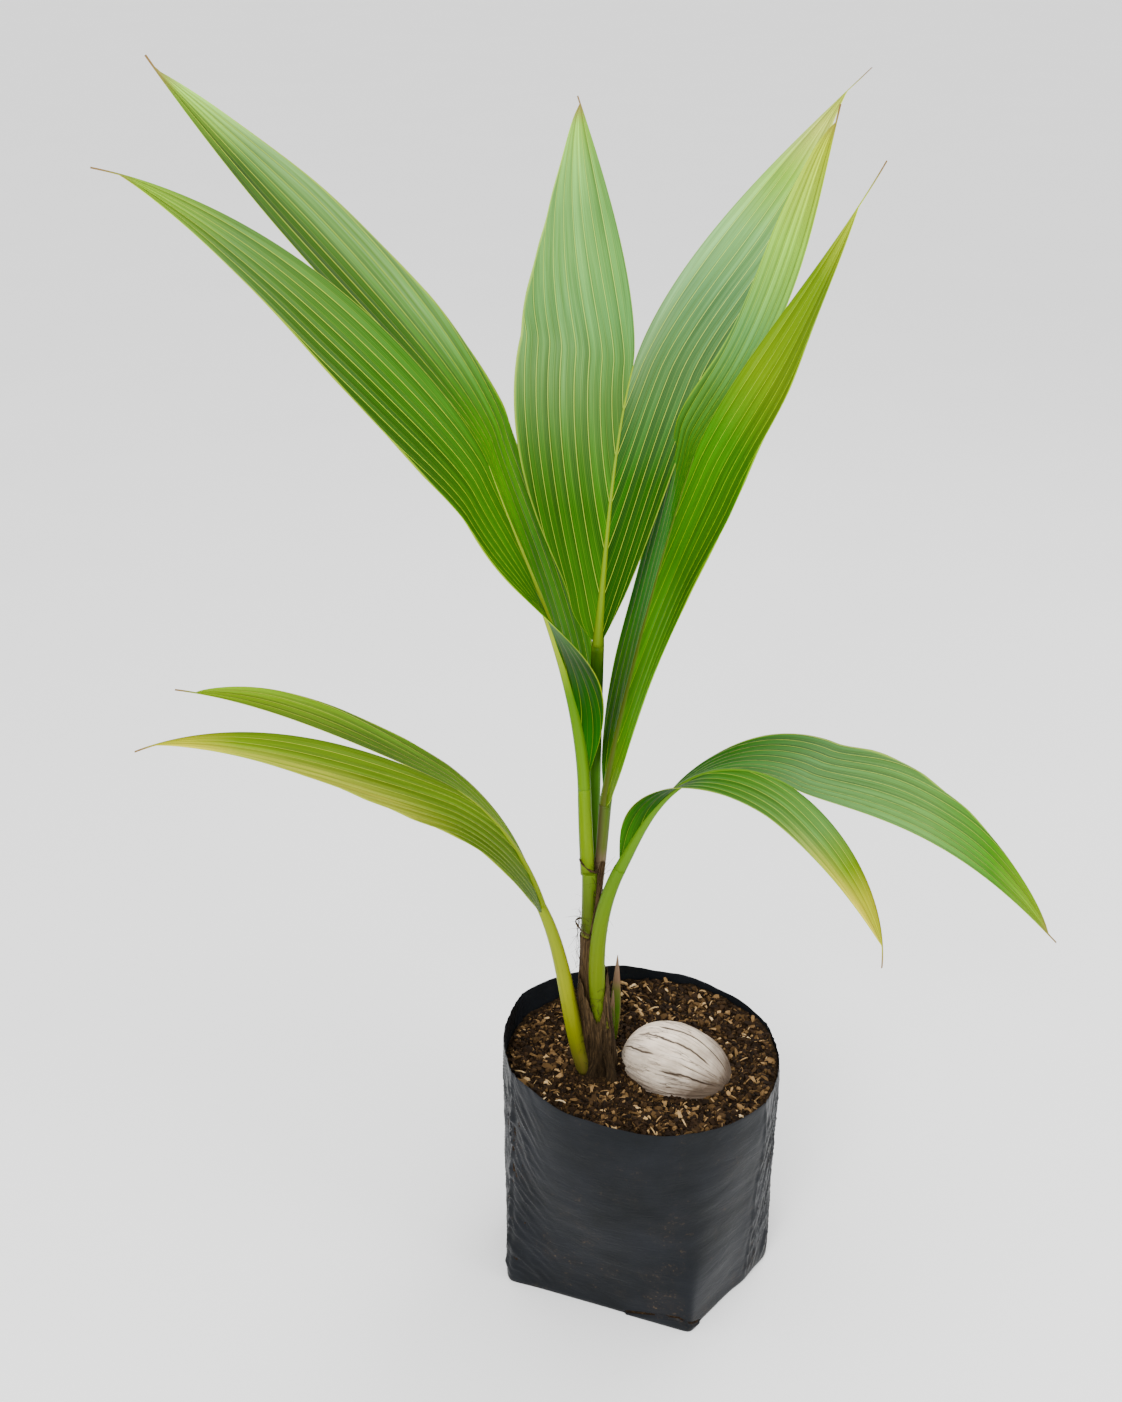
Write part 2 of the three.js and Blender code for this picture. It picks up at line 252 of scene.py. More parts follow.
# Painted board: even, matt and nearly white
floorPaint, add = newMaterial("white painted board")
speckle = add("TexNoise", {"Vector": add("TexCoord", out="Object"), "Scale": perMetre(333)})
shade = add("ValToRGB", {"Fac": speckle}, stops=[(0.3, "#fafafa"), (0.7, "#fcfcfc")])
paint = add("BsdfPrincipled", {"Base Color": shade, "Roughness": 0.8})
add("OutputMaterial", {"Surface": paint})
floorBm = bmesh.new()
bmesh.ops.create_grid(floorBm, x_segments=1, y_segments=1, size=12)
floor = addObject("floor", meshOf(floorBm, "floor"))
floor.data.materials.append(floorPaint)
print("camera, lights and floor")


# the grow bag: a gusseted tube of film, filled with mix. A side has its heading and reach, a
# gusset its heading, half its spread and its folds' slant, and a fold at the foot the heading of
# its peak and how high that is. A dent has its features' size in metres, its seed, how far it is
# flattened and its rise, and slack the turn of its folds' slant, their spacing, seed and rise
bag = {
    "radius": 144, "height": 267, "film": 0.9, "soilTop": 246,
    "sides": [(-111, 114.5), (-40, 131), (2, 142.5)],
    "cornerSharpness": (55, 13), "cornerHeight": 110, "rimTilt": (15, 5), "slump": (40, 6),
    "creases": [-31, 22.5, 149, 204], "creaseHeight": 2.2, "creaseSpread": 7,
    "gussets": [(-4, 27, 66), (184, 36, -48)],
    "dents": [(0.085, 2, 1, 1.3), (0.04, 5, 2.6, 0.3)], "slack": [(0, 9, 3, 2.0), (12, 4.5, 8, 0.9)],
    "footFolds": [(-74, 15), (106, 15)], "foldSlopes": (0.55, 1.3), "foldLip": 2.0, "foldGroove": 2.2,
    "hem": 1.6, "hemHeight": 6, "around": 448, "rows": 220,
}


# the bag's outer radius in millimetres: six flats at the foot, round at the rim
def bagRadius(heading, height):
    low, high = bag["cornerSharpness"]
    sharpness = low + (high - low) * smooth(0, bag["cornerHeight"], height)
    total = 0
    for side, reach in bag["sides"]:
        for facing in (side, side + 180):
            facingIt = np.maximum(np.cos(np.radians(heading - facing)), 0)
            total = total + (facingIt / reach) ** sharpness
    foot = total ** (-1 / sharpness)
    roundness = smooth(0, bag["soilTop"], height)
    fold = 0
    for crease in bag["creases"]:
        fold = fold + np.exp(-(turnedFrom(heading, crease) / bag["creaseSpread"]) ** 2)
    hem = np.maximum(0, 1 - height / bag["hemHeight"]) ** 2 * bag["hem"]
    slumpHeading, slump = bag["slump"]
    sag = slump * np.maximum(0, np.cos(np.radians(heading - slumpHeading))) ** 3 \
        * (height / bag["height"]) ** 2
    return foot * (1 - roundness) + bag["radius"] * roundness + fold * bag["creaseHeight"] + sag - hem


# thin ridges of slack film that run at a slant, that many millimetres apart
def slackFolds(heading, height, slant, spacing, seed):
    along = np.radians(slant)
    arc = heading * math.pi / 180 * bag["radius"]
    across = (arc * np.sin(along) - height * np.cos(along)) / spacing
    down = (arc * np.cos(along) + height * np.sin(along)) / spacing / 7
    return np.maximum(0, 1 - np.abs(wobble(xyz(across, down, 0), 1.0, seed)) * 1.6) ** 2


# how far the film stands in or out of its form, in millimetres
def bagWrinkles(heading, height):
    total = 0
    for size, seed, flattened, rise in bag["dents"]:
        spots = onRing(np.radians(heading), 0.14, height * mm * flattened)
        total = total + rise * wobble(spots, size, seed)
    for number, (facing, reach, slant) in enumerate(bag["gussets"]):
        apart = turnedFrom(heading, facing)
        inside = np.exp(-(apart / reach) ** 6)
        for turn, spacing, seed, rise in bag["slack"]:
            total = total + rise * inside * slackFolds(apart, height, slant + turn, spacing, number + seed)
    for crease in bag["creases"]:
        off = turnedFrom(heading, crease) - wobble(xyz(height * mm, 0, 0), 0.05, crease) * 0.7
        total = total + 1.5 * np.exp(-(off / 0.7) ** 2) - 0.9 * np.exp(-((off - 1.9) / 1.1) ** 2)
    total = total * smooth(0, 26, height) * (1 - 0.5 * smooth(225, 262, height))
    steep, steeper = bag["foldSlopes"]
    for peak, top in bag["footFolds"]:
        apart = turnedFrom(heading, peak)
        lip = top - np.where(apart < 0, steep, steeper) * np.abs(apart)
        ridge = bag["foldLip"] * smooth(0.8, -0.8, height - lip)
        groove = bag["foldGroove"] * np.exp(-((height - lip - 1.8) / 1.2) ** 2)
        total = total + (ridge - groove) * (lip > 2)
    return total


# v runs from the underside's middle, up the outside, over the rim and down the inside
def placeBag(u, v):
    film, top, innerFloor = bag["film"], bag["height"], 1.2
    levels = [(0.00, 0, 0, 1), (0.03, 0, 0, 0), (0.045, 2.5, 0, 0), (0.08, 9, 0, 0),
              (0.14, 24, 0, 0), (0.71, top - 3, 0, 0), (0.73, top, 0.3, 0), (0.75, top - 1, film, 0),
              (0.92, 205, film, 0), (0.96, 12, film, 0), (0.98, innerFloor, film, 0),
              (1.00, innerFloor, film, 1)]
    heading = u * 360
    height, inset, inwards = readOff(levels, v)
    radius = (bagRadius(heading, height) + bagWrinkles(heading, height) - inset) * (1 - inwards)
    turn = np.radians(heading)
    rise = smooth(60, 262, height)
    tiltX, tiltY = bag["rimTilt"]
    rim = -(tiltX * np.cos(turn) + tiltY * np.sin(turn)) * rise ** 3
    ripple = (wobble(onRing(turn), 0.33, 9) * 2.2 + wobble(onRing(turn), 0.09, 4) * 0.5) * rise ** 4
    return onRing(turn, radius, height + rim + ripple) * mm


# Black polyethylene film: near black and satin, drawn into fine level creases, with a dust of dried
# mix that thins out up the bag
filmPaint, add = newMaterial("black polyethylene film")
spot = add("TexCoord", out="Object")
cloud = add("TexNoise", {"Vector": spot, "Scale": perMetre(71.4), "Detail": 5.0, "Roughness": 0.6})
low = add("MapRange", {"Value": add("SeparateXYZ", {"Vector": spot}, out="Z"),
                       "From Min": 0.02, "From Max": 0.2, "To Min": 1.0, "To Max": 0.25})
dust = add("TexNoise", {"Vector": spot, "Scale": perMetre(45.5), "Detail": 7.0, "Roughness": 0.75})
flecks = add("TexNoise", {"Vector": spot, "Scale": perMetre(4.17), "Detail": 2.0, "Roughness": 0.6})
patchy = add("MapRange", {"Value": dust, "From Min": 0.5, "From Max": 0.7})
sharp = add("MapRange", {"Value": flecks, "From Min": 0.58, "From Max": 0.72, "To Min": 0.06,
                         "To Max": 0.9})
specks = add("Math", {0: patchy, 1: sharp}, operation="MULTIPLY")
dirty = add("Math", {0: specks, 1: low}, operation="MULTIPLY")
film = add("ValToRGB", {"Fac": cloud}, stops=[(0.35, "#121416"), (0.7, "#1a1c20")])
base = add("Mix", {"Factor": dirty, 6: film, 7: colour("#5a4a36")}, out=2, data_type="RGBA")
fine = drawnOut(add, spot, (0.3, 0.3, 1.0), 6.0, 0.65, 0.8, perMetre(9.09))
shell = add("BsdfPrincipled", {
    "Base Color": base, "IOR": 1.5, "Specular IOR Level": 0.055,
    "Roughness": add("MapRange", {"Value": cloud, "To Min": 0.26, "To Max": 0.42}),
    "Normal": add("Bump", {"Height": fine, "Strength": 0.55, "Distance": 0.001})})
add("OutputMaterial", {"Surface": shell})

addPiece("growBag", sheet(bag["around"], bag["rows"], placeBag, closed=True), [filmPaint],
         "bag_film", "pot")
print("bag")


# the potting mix. A wave has the size of its features in metres, its seed and its rise, and a hump
# its middle, its reaches and its rise. No shred lies in a covered circle. A shred has its kind,
# count, (shortest, longest, usual) length, the (dark, pale) pull on its tone, and how far it tips
mix = {
    "waves": [(0.045, 4, 3.2), (0.014, 7, 1.9), (0.006, 1, 1.0)], "settled": 3,
    "humps": [(-46, -3, 34, 34, 5), (44, -56, 46, 26, -7)], "bank": (110, 142, 3),
    "covered": [(38, -4, 41.76), (-48, -20, 19.2)], "edge": 4.5, "seed": 11, "lifts": (-0.8, 2.4),
    "widths": (0.6, 1.5), "depths": (0.6, 1.6), "crumbled": 0.22,
    "shreds": {
        "coirChips": ("chip", 3600, (3.5, 13, 6), (1.2, 2.4), 0.5),
        "coirCrumbs": ("crumb", 6000, (2, 7.5, 3.6), (1.1, 3.0), 0.6),
        "coirStrands": ("strand", 330, (6, 19, 10), (3.2, 1.5), 0.3),
    },
}


# the mix's surface in millimetres at a spot, higher against the wall and the stem
def soilHeight(x, y):
    start, end, bank = mix["bank"]
    total = bag["soilTop"] - mix["settled"] + bank * smooth(start, end, np.hypot(x, y))
    for size, seed, rise in mix["waves"]:
        total = total + rise * wobble(xyz(x, y, 0) * mm, size, seed)
    for middleX, middleY, reachX, reachY, rise in mix["humps"]:
        total = total + rise * np.exp(-(((x - middleX) / reachX) ** 2 + ((y - middleY) / reachY) ** 2))
    return total


# v runs from the underside's middle, up the wall and over the surface to its middle
def placeSoil(u, v):
    heading, surfaceFrom = u * 360, 0.15
    height, inwards = readOff([(0.0, 2, 1), (0.05, 2, 0), (surfaceFrom, bag["soilTop"], 0),
                               (1.0, bag["soilTop"], 1)], v)
    wall = bagRadius(heading, height) + bagWrinkles(heading, height) - bag["film"] - 0.3
    x, y, _ = onRing(np.radians(heading), wall * (1 - inwards)).T
    return xyz(x, y, np.where(v >= surfaceFrom - 0.001, soilHeight(x, y), height)) * mm


# Potting mix: moist coir dust, dark golden brown, no shine
mixPaint, add = newMaterial("moist coir mix")
grain = add("TexNoise", {"Vector": add("TexCoord", out="Object"), "Scale": perMetre(3.85),
                         "Detail": 6.0, "Roughness": 0.7})
base = add("ValToRGB", {"Fac": grain}, stops=[(0.3, "#110a04"), (0.5, "#21160a"), (0.68, "#47351e")])
dull = add("BsdfPrincipled", {
    "Base Color": base, "Roughness": 0.95, "Specular IOR Level": 0.1,
    "Normal": add("Bump", {"Height": grain, "Strength": 0.9, "Distance": 0.002})})
add("OutputMaterial", {"Surface": dull})
addPiece("pottingMix", sheet(220, 120, placeSoil, closed=True), [mixPaint], "potting_mix", "soil")

# Shreds of husk: torn pith and fibre, from near black to straw, each with its own tone
shredPaint, add = newMaterial("shredded coir")
base = add("ValToRGB", {"Fac": add("Attribute", attribute_name="tone", out="Fac")},
           stops=[(0.0, "#120a04"), (0.3, "#2b1c0c"), (0.5, "#523c20"), (0.7, "#866842"),
                  (0.86, "#b69668"), (1.0, "#e8cea2")])
dull = add("BsdfPrincipled", {"Base Color": base, "Roughness": 0.85, "Specular IOR Level": 0.12})
add("OutputMaterial", {"Surface": dull})


# one shred, 1 long and lying along X
def shredMesh(kind):
    bm = bmesh.new()
    if kind == "crumb":
        bmesh.ops.create_icosphere(bm, subdivisions=1, radius=0.5)
        bmesh.ops.scale(bm, verts=bm.verts, vec=(1, 0.8, 0.62))
        return meshOf(bm, kind)
    wide, thick = (0.42, 0.16) if kind == "chip" else (0.07, 0.06)
    bmesh.ops.create_grid(bm, x_segments=4, y_segments=1, size=0.5)
    bmesh.ops.scale(bm, verts=bm.verts, vec=(1, wide, 1))
    for vert in bm.verts:
        vert.co.y *= 1 - 0.5 * (2 * vert.co.x) ** 2
        vert.co.z = 0.14 * (1 - (2 * vert.co.x) ** 2)
    bmesh.ops.solidify(bm, geom=bm.faces, thickness=thick)
    bmesh.ops.recalc_face_normals(bm, faces=bm.faces)
    return meshOf(bm, kind)


# shreds that lie deeper are darker: painted shade down among the crumbs
def sunkShade(lift):
    return 0.45 + 0.55 * float(smooth(-0.8, 2.2, np.array(lift)))


def scatter(rng, kind, count, lengths, tones, tip):
    shred = shredMesh(kind)
    bm = bmesh.new()
    layer = bm.verts.layers.float.new("tone")
    size = len(shred.vertices)
    uneven = 0.0 if kind == "strand" else mix["crumbled"]
    made = 0
    while made < count:
        heading = rng.uniform(0, 360)
        reach = math.sqrt(rng.random())
        wall = float(bagRadius(np.array(heading), np.array(bag["soilTop"]))) - mix["edge"]
        length = rng.triangular(*lengths)
        out = (wall - length * 0.3) * reach
        x, y = out * math.cos(math.radians(heading)), out * math.sin(math.radians(heading))
        if any(math.hypot(x - midX, y - midY) < radius for midX, midY, radius in mix["covered"]):
            continue
        lift = rng.uniform(*mix["lifts"])
        z = float(soilHeight(np.array([x]), np.array([y]))[0]) + lift
        turn = Matrix.Rotation(rng.uniform(0, 2 * math.pi), 4, "Z") \
            @ Matrix.Rotation(rng.gauss(0, tip), 4, "Y") @ Matrix.Rotation(rng.gauss(0, tip), 4, "X")
        stretch = Matrix.Diagonal((1, rng.uniform(*mix["widths"]), rng.uniform(*mix["depths"]), 1))
        place = Matrix.Translation(Vector((x, y, z)) * mm) @ turn @ Matrix.Scale(length * mm, 4) @ stretch
        before = len(bm.verts)
        bm.from_mesh(shred)
        bm.verts.ensure_lookup_table()
        # a deeper shred's tone is darkened by painted shade
        tone = rng.betavariate(*tones) * sunkShade(lift)
        for vert in bm.verts[before:before + size]:
            vert.co = place @ (vert.co * (1 + rng.uniform(-uneven, uneven)))
            vert[layer] = tone
        made += 1
    for face in bm.faces:
        face.smooth = kind == "strand"
    bpy.data.meshes.remove(shred)
    return bm


rng = random.Random(mix["seed"])
for name, shreds in mix["shreds"].items():
    addPiece(name, scatter(rng, *shreds), [shredPaint], "potting_mix")
print("potting mix")


# the sprouted nut, half sunk in the mix; its long axis lies at that heading, and a crack has its
# place round that axis, its start and its end
coconut = {
    "centre": (38, -4, 239), "halfLength": 61, "halfWidth": 50, "halfHeight": 48,
    "heading": -30, "ridge": 2, "taper": 0.08, "fibre": 0.7, "dents": 1.6,
    "cracks": [(0.19, 0.1, 0.62), (0.235, 0.3, 0.93), (0.3, 0.2, 0.8), (0.15, 0.35, 0.88),
               (0.36, 0.12, 0.5), (0.1, 0.25, 0.7), (0.4, 0.45, 0.9), (0.27, 0.04, 0.3)],
    "crackDepth": 1.6, "crackWidth": 0.0045,
}


# 0 on sound husk, and 1 down a crack
def crackAt(u, v):
    gaping = 0 * u
    for number, (where, start, end) in enumerate(coconut["cracks"]):
        line = where + wobble(xyz(v, 0, 0), 0.22, number) * 0.012 \
            + wobble(xyz(v, 0, 0), 0.03, number) * 0.002
        gape = smooth(start, start + 0.12, v) * smooth(end, end - 0.12, v)
        gaping = np.maximum(gaping, gape * np.exp(-((u - line) / coconut["crackWidth"]) ** 2))
    return gaping


# u goes round the long axis and v along it
def placeCoconut(u, v):
    turn = u * 2 * math.pi
    along = -np.cos(v * math.pi)
    across = np.sin(v * math.pi)
    grooves = wobble(onRing(turn, 3, along * 0.5), 0.16, 3) * coconut["fibre"]
    dents = wobble(onRing(turn, 1, along * 0.7), 0.5, 8) * coconut["dents"]
    skin = (grooves + dents) * across - coconut["crackDepth"] * crackAt(u, v)
    swell = (1 + coconut["ridge"] / coconut["halfWidth"] * np.cos(3 * turn) * across) \
        * (1 - coconut["taper"] * along)
    x = along * coconut["halfLength"]
    y = across * np.cos(turn) * (swell * coconut["halfWidth"] + skin)
    z = across * np.sin(turn) * (swell * coconut["halfHeight"] + skin)
    aim = math.radians(coconut["heading"])
    level = xyz(x * math.cos(aim) - y * math.sin(aim), x * math.sin(aim) + y * math.cos(aim), z)
    return (level + coconut["centre"]) * mm


# Weathered husk: bleached grey fibres 2.6 mm wide along its length and brown in the splits, with
# painted light on top and painted shade below and towards +X over its mottled patches
huskPaint, add = newMaterial("weathered coconut husk")
uv = add("UVMap", uv_map="surface")
spot = add("TexCoord", out="Object")
huskFibres = drawnOut(add, uv, (120.0, 4.0, 1.0), 6.0, 0.7, 0.4)
splits = drawnOut(add, uv, (34.0, 2.2, 1.0), 5.0, 0.62, 0.5)
patches = add("TexNoise", {"Vector": spot, "Scale": perMetre(33.3), "Detail": 6.0, "Roughness": 0.6})
# painted light and shade: lighter upwards, darker towards +X
paintedLight = add("Math", {0: add("SeparateXYZ", {"Vector": spot}, out="X"), 1: -0.26,
                   2: add("SeparateXYZ", {"Vector": spot}, out="Z")}, operation="MULTIPLY_ADD")
uneven = add("Math", {0: patches, 1: 0.055, 2: paintedLight}, operation="MULTIPLY_ADD")
# the husk's mottled patches, with the painted light and shade over them
weathered = add("ValToRGB", {
    "Fac": add("MapRange", {"Value": uneven, "From Min": 0.259, "From Max": 0.312})},
    stops=[(0.0, "#5b4e42"), (0.3, "#978a7c"), (0.58, "#c9bba9"), (1.0, "#fdebd8")])
grey = add("ValToRGB", {"Fac": huskFibres}, stops=[(0.3, "#b3a79b"), (0.48, "#f6f1ec"), (0.62, "#ffffff")])
streaked = add("Mix", {"Factor": 0.75, 6: weathered, 7: grey}, out=2, data_type="RGBA",
               blend_type="MULTIPLY")
offSplit = add("Math", {0: splits, 1: 0.5}, operation="SUBTRACT")
fineCrack = add("MapRange", {"Value": add("Math", {0: offSplit}, operation="ABSOLUTE"),
                             "From Min": 0.003, "From Max": 0.02, "To Min": 0.8, "To Max": 0.0})
broken = add("MapRange", {"Value": patches, "From Min": 0.38, "From Max": 0.58})
cracked = add("Math", {0: fineCrack, 1: broken}, operation="MULTIPLY")
base = add("Mix", {"Factor": cracked, 6: streaked, 7: colour("#4a3a2c")}, out=2, data_type="RGBA")
ragged = add("Math", {0: splits, 1: 0.5, 2: -0.25}, operation="MULTIPLY_ADD")
split = add("Math", {
    0: ragged, 1: add("SeparateXYZ", {"Vector": add("UVMap", uv_map="cracks")}, out="X")},
    operation="ADD")
deepCrack = add("MapRange", {"Value": split, "From Min": 0.25, "From Max": 0.7, "To Max": 0.9})
opened = add("Mix", {"Factor": deepCrack, 6: base, 7: colour("#33261b")}, out=2, data_type="RGBA")
depth = add("Math", {0: huskFibres, 1: cracked}, operation="SUBTRACT")
husk = add("BsdfPrincipled", {
    "Base Color": opened, "Roughness": 0.85, "Specular IOR Level": 0.12,
    "Normal": add("Bump", {"Height": depth, "Strength": 0.8, "Distance": 0.0012})})
add("OutputMaterial", {"Surface": husk})
addPiece("coconutHusk", sheet(460, 130, placeCoconut, closed=True, marks=lambda u, v: {
    "surface": (u, v), "cracks": (crackAt(u, v), v)}), [huskPaint], "husk", "coconut")
print("coconut")


# a closed tube along a bend; flat squashes it from the upper side, where the groove is
def limb(bend, radii, sides=24, rows=60, flat=1.0, groove=0.0, rough=0.0, seed=0.0):
    def place(u, v):
        turn = u * 2 * math.pi
        point, right, up = bend.at(v)
        fromTop = np.angle(np.exp(1j * (turn - math.pi / 2)))
        radius = blend(radii, v) * mm * (1 - groove * np.exp(-(fromTop / 0.55) ** 2))
        if rough:
            spots = onRing(turn, 0.01, v * bend.length * 0.12)
            radius = radius * (1 + rough * wobble(spots, 0.0035, seed))
        return point + right * (radius * np.cos(turn))[:, None] \
            + up * (radius * flat * np.sin(turn))[:, None]
    return sheet(sides, rows, place, closed=True)


# leaf greens, from a blade's foot, darkened by painted shade, to its yellowing tip, paled by painted
# light; frost and haze are greens paled by a painted reflection of the sky
greens = {
    "shade": "#0b4200", "deep": "#1a5a02", "forest": "#146c00", "green": "#2f6e04", "grass": "#387a06",
    "meadow": "#4a9006", "leaf": "#437622", "sage": "#4c7840", "fern": "#56863a", "mist": "#62a04e",
    "fresh": "#6dac50", "haze": "#649a5c", "dew": "#7fba66", "frost": "#8db076", "pale": "#7fbf52",
    "spring": "#84b41c", "bright": "#98d03a", "straw": "#d2e05c", "sand": "#cbb63c",
    "yellow": "#b6c604", "gold": "#a2a402", "lime": "#688a04", "moss": "#5c7e0c", "olive": "#44680a",
}

# The five fronds. Stops are a limb's colours from foot to top, and its side is a tint, mostly a darker
# one that is painted shade: where round the limb, how far it spreads and its colour. A half's rise,
# fall and trim shape its outline, and its tones are the greens along it. A swell has its middle, its
# reach and its amount. Sheen is painted light and shade: past a place along it, it darkens the deep
# side and pales the half with a painted reflection where it turns across to the light; a sand tint
# makes that pale side a real yellowing instead
fronds = {}
fronds["upperLeft"] = {
    "node": "upper_left", "slot": "full_frond", "collar": (-61, 0, 580), "rib": "#c2d228",
    "stalk": {"length": 99, "lean": [3, 3, 1], "heading": [180, 180, 181], "radii": [7.7, 7.2, 6.8],
              "stops": [(0.0, "#4a5a0a"), (0.12, "#647e06"), (0.6, "#6a8804"), (1.0, "#688c06")],
              "side": (0.75, 0.12, "#3f5a06")},
    "midrib": {"length": 351, "lean": [2, 15, 24, 17], "heading": [181, 183, 187, 194],
               "radii": [6.8, 6.0, 2.0, 0.5], "side": (0.75, 0.12, "#3f5a06"),
               "stops": [(0.0, "#5f860a"), (0.3, "#4f7c06"), (0.48, "#9cb01a"), (1.0, "#98b02c")]},
    "halves": {
        "near": {
            "side": -1, "length": 427, "lean": [41, 35, 76], "heading": [203, 192, 192], "width": 94,
            "rise": 1.18, "fall": 0.97, "trim": [1.7, 0.96, 0.75], "roll": [87, -94, -21],
            "thread": 0.025, "pleats": 6,
            "sheen": {"across": (0.72, 0.15), "along": (0.38, 0.56), "tones": (0.66, 1.0), "frost": 0.04},
            "tones": {0.06: "forest", 0.2: "shade", 0.3: "grass", 0.38: "grass", 0.5: "green",
                      0.62: "green", 0.74: "leaf", 0.84: "fern", 0.95: "spring"}},
        "far": {
            "side": 1, "length": 439, "lean": [55, 42, 34], "heading": [185, 166, 171], "width": 82,
            "rise": 0.75, "fall": 0.86, "trim": [1.5, 1.1, 1.45], "roll": [26, 9, 45],
            "thread": 0.015, "pleats": 6, "swell": (0.165, 0.045, 0.27),
            "sheen": {"across": (0.25, 0.85), "along": (0.4, 0.62), "tones": (0.46, 1.36), "frost": 0.26},
            "tones": {0.12: "meadow", 0.22: "meadow", 0.3: "grass", 0.4: "meadow", 0.5: "grass",
                      0.7: "leaf", 0.86: "fern", 0.96: "bright"}},
    },
}
fronds["right"] = {
    "node": "right", "slot": "bright_frond", "collar": (-41, 0, 562), "rib": "#a8c80c",
    "stalk": {"length": 152, "lean": [8, 3, 3], "heading": [-20, -20, -5], "radii": [4.6, 5.4, 6.4],
              "stops": [(0.0, "#3a2e20"), (0.45, "#5e4d38"), (0.6, "#665640"), (0.68, "#4e561f"),
                        (1.0, "#4c661a")],
              "side": (0.1, 0.2, "#3a2d20")},
    "midrib": {"length": 369, "lean": [7, 13, 11, 16], "heading": [8, -4, -6, 3],
               "radii": [6.4, 3.0, 1.8, 0.6], "side": (0.1, 0.2, "#46421a"),
               "stops": [(0.0, "#4c6c14"), (0.25, "#4a7c08"), (1.0, "#5c900c")]},
    "halves": {
        "near": {
            "side": 1, "length": 300, "lean": [28, 41, 26], "heading": [3, -10, -15], "width": 93,
            "rise": 0.71, "fall": 0.95, "trim": [0.8, 1.15, 1.5], "roll": [2, -13, -28],
            "thread": 0.06, "pleats": 6,
            "sheen": {"across": (0.75, 0.25), "along": (0.26, 0.4), "tones": (0.86, 1.16), "frost": 0},
            "tones": {0.04: "lime", 0.14: "meadow", 0.28: "meadow", 0.42: "green", 0.6: "grass",
                      0.7: "lime", 0.84: "lime", 0.95: "yellow"}},
        "far": {
            "side": -1, "length": 323, "lean": [71, -1, 12], "heading": [16, 16, 22], "width": 89,
            "rise": 0.96, "fall": 0.8, "trim": [1.25, 0.75, 0.95], "roll": [25, -11, 15],
            "thread": 0.02, "pleats": 6,
            "sheen": {"across": (0.3, 0.75), "along": (0.36, 0.5), "tones": (0.94, 1.12), "frost": 0.06},
            "tones": {0.04: "deep", 0.12: "grass", 0.2: "green", 0.3: "forest", 0.42: "forest",
                      0.5: "green", 0.6: "leaf", 0.7: "mist", 0.82: "bright", 0.95: "yellow"}},
    },
}
fronds["centre"] = {
    "node": "centre", "slot": "young_frond", "collar": (-49, 30, 719), "rib": "#c8d846",
    "stalk": {"length": 335, "lean": [3, 2, 5], "heading": [90, 90, 75], "radii": [3.6, 6.2, 6.2],
              "stops": [(0.0, "#3c5a08"), (0.5, "#3e680a"), (0.93, "#386806"), (1.0, "#748e06")],
              "side": (0.25, 0.2, "#34600a")},
    "midrib": {"length": 270, "lean": [16, 15, 23, 43], "heading": [74, 75, 74, 69],
               "radii": [6.2, 2.0, 2.0, 1.5, 1.0, 0.6], "side": (0.25, 0.2, "#7a9a1c"),
               "stops": [(0.0, "#748e06"), (0.4, "#8ea208"), (1.0, "#a4b824")]},
    "halves": {
        "left": {
            "side": -1, "length": 257, "lean": [21, 28, 23], "heading": [102, 125, 147], "width": 102,
            "rise": 1.06, "fall": 0.75, "trim": [1.32, 1.08, 0.95], "roll": [21, 36, 1],
            "thread": 0.015, "pleats": 6, "swell": (0.03, 0.05, 0.6),
            "sheen": {"across": (0.05, 0.6), "along": (0.3, 0.5), "tones": (0.9, 1.22), "frost": 0.16},
            "tones": {0.04: "meadow", 0.12: "grass", 0.24: "green", 0.34: "leaf", 0.45: "fern",
                      0.6: "mist", 0.72: "fresh", 0.8: "fresh", 0.88: "pale", 0.96: "bright"}},
        "right": {
            "side": 1, "length": 395, "lean": [52, 59, 52], "heading": [53, 41, 22], "width": 89,
            "rise": 0.95, "fall": 0.85, "trim": [0.63, 0.92, 1.3], "roll": [26, -23, 16],
            "thread": 0.05, "pleats": 6,
            "sheen": {"across": (0.32, 0.06), "along": (0.28, 0.45), "tones": (0.95, 1.3), "frost": 0.3},
            "tones": {0.05: "deep", 0.24: "deep", 0.4: "sage", 0.56: "haze", 0.67: "dew",
                      0.78: "bright", 0.88: "straw", 0.96: "yellow"}},
    },
}
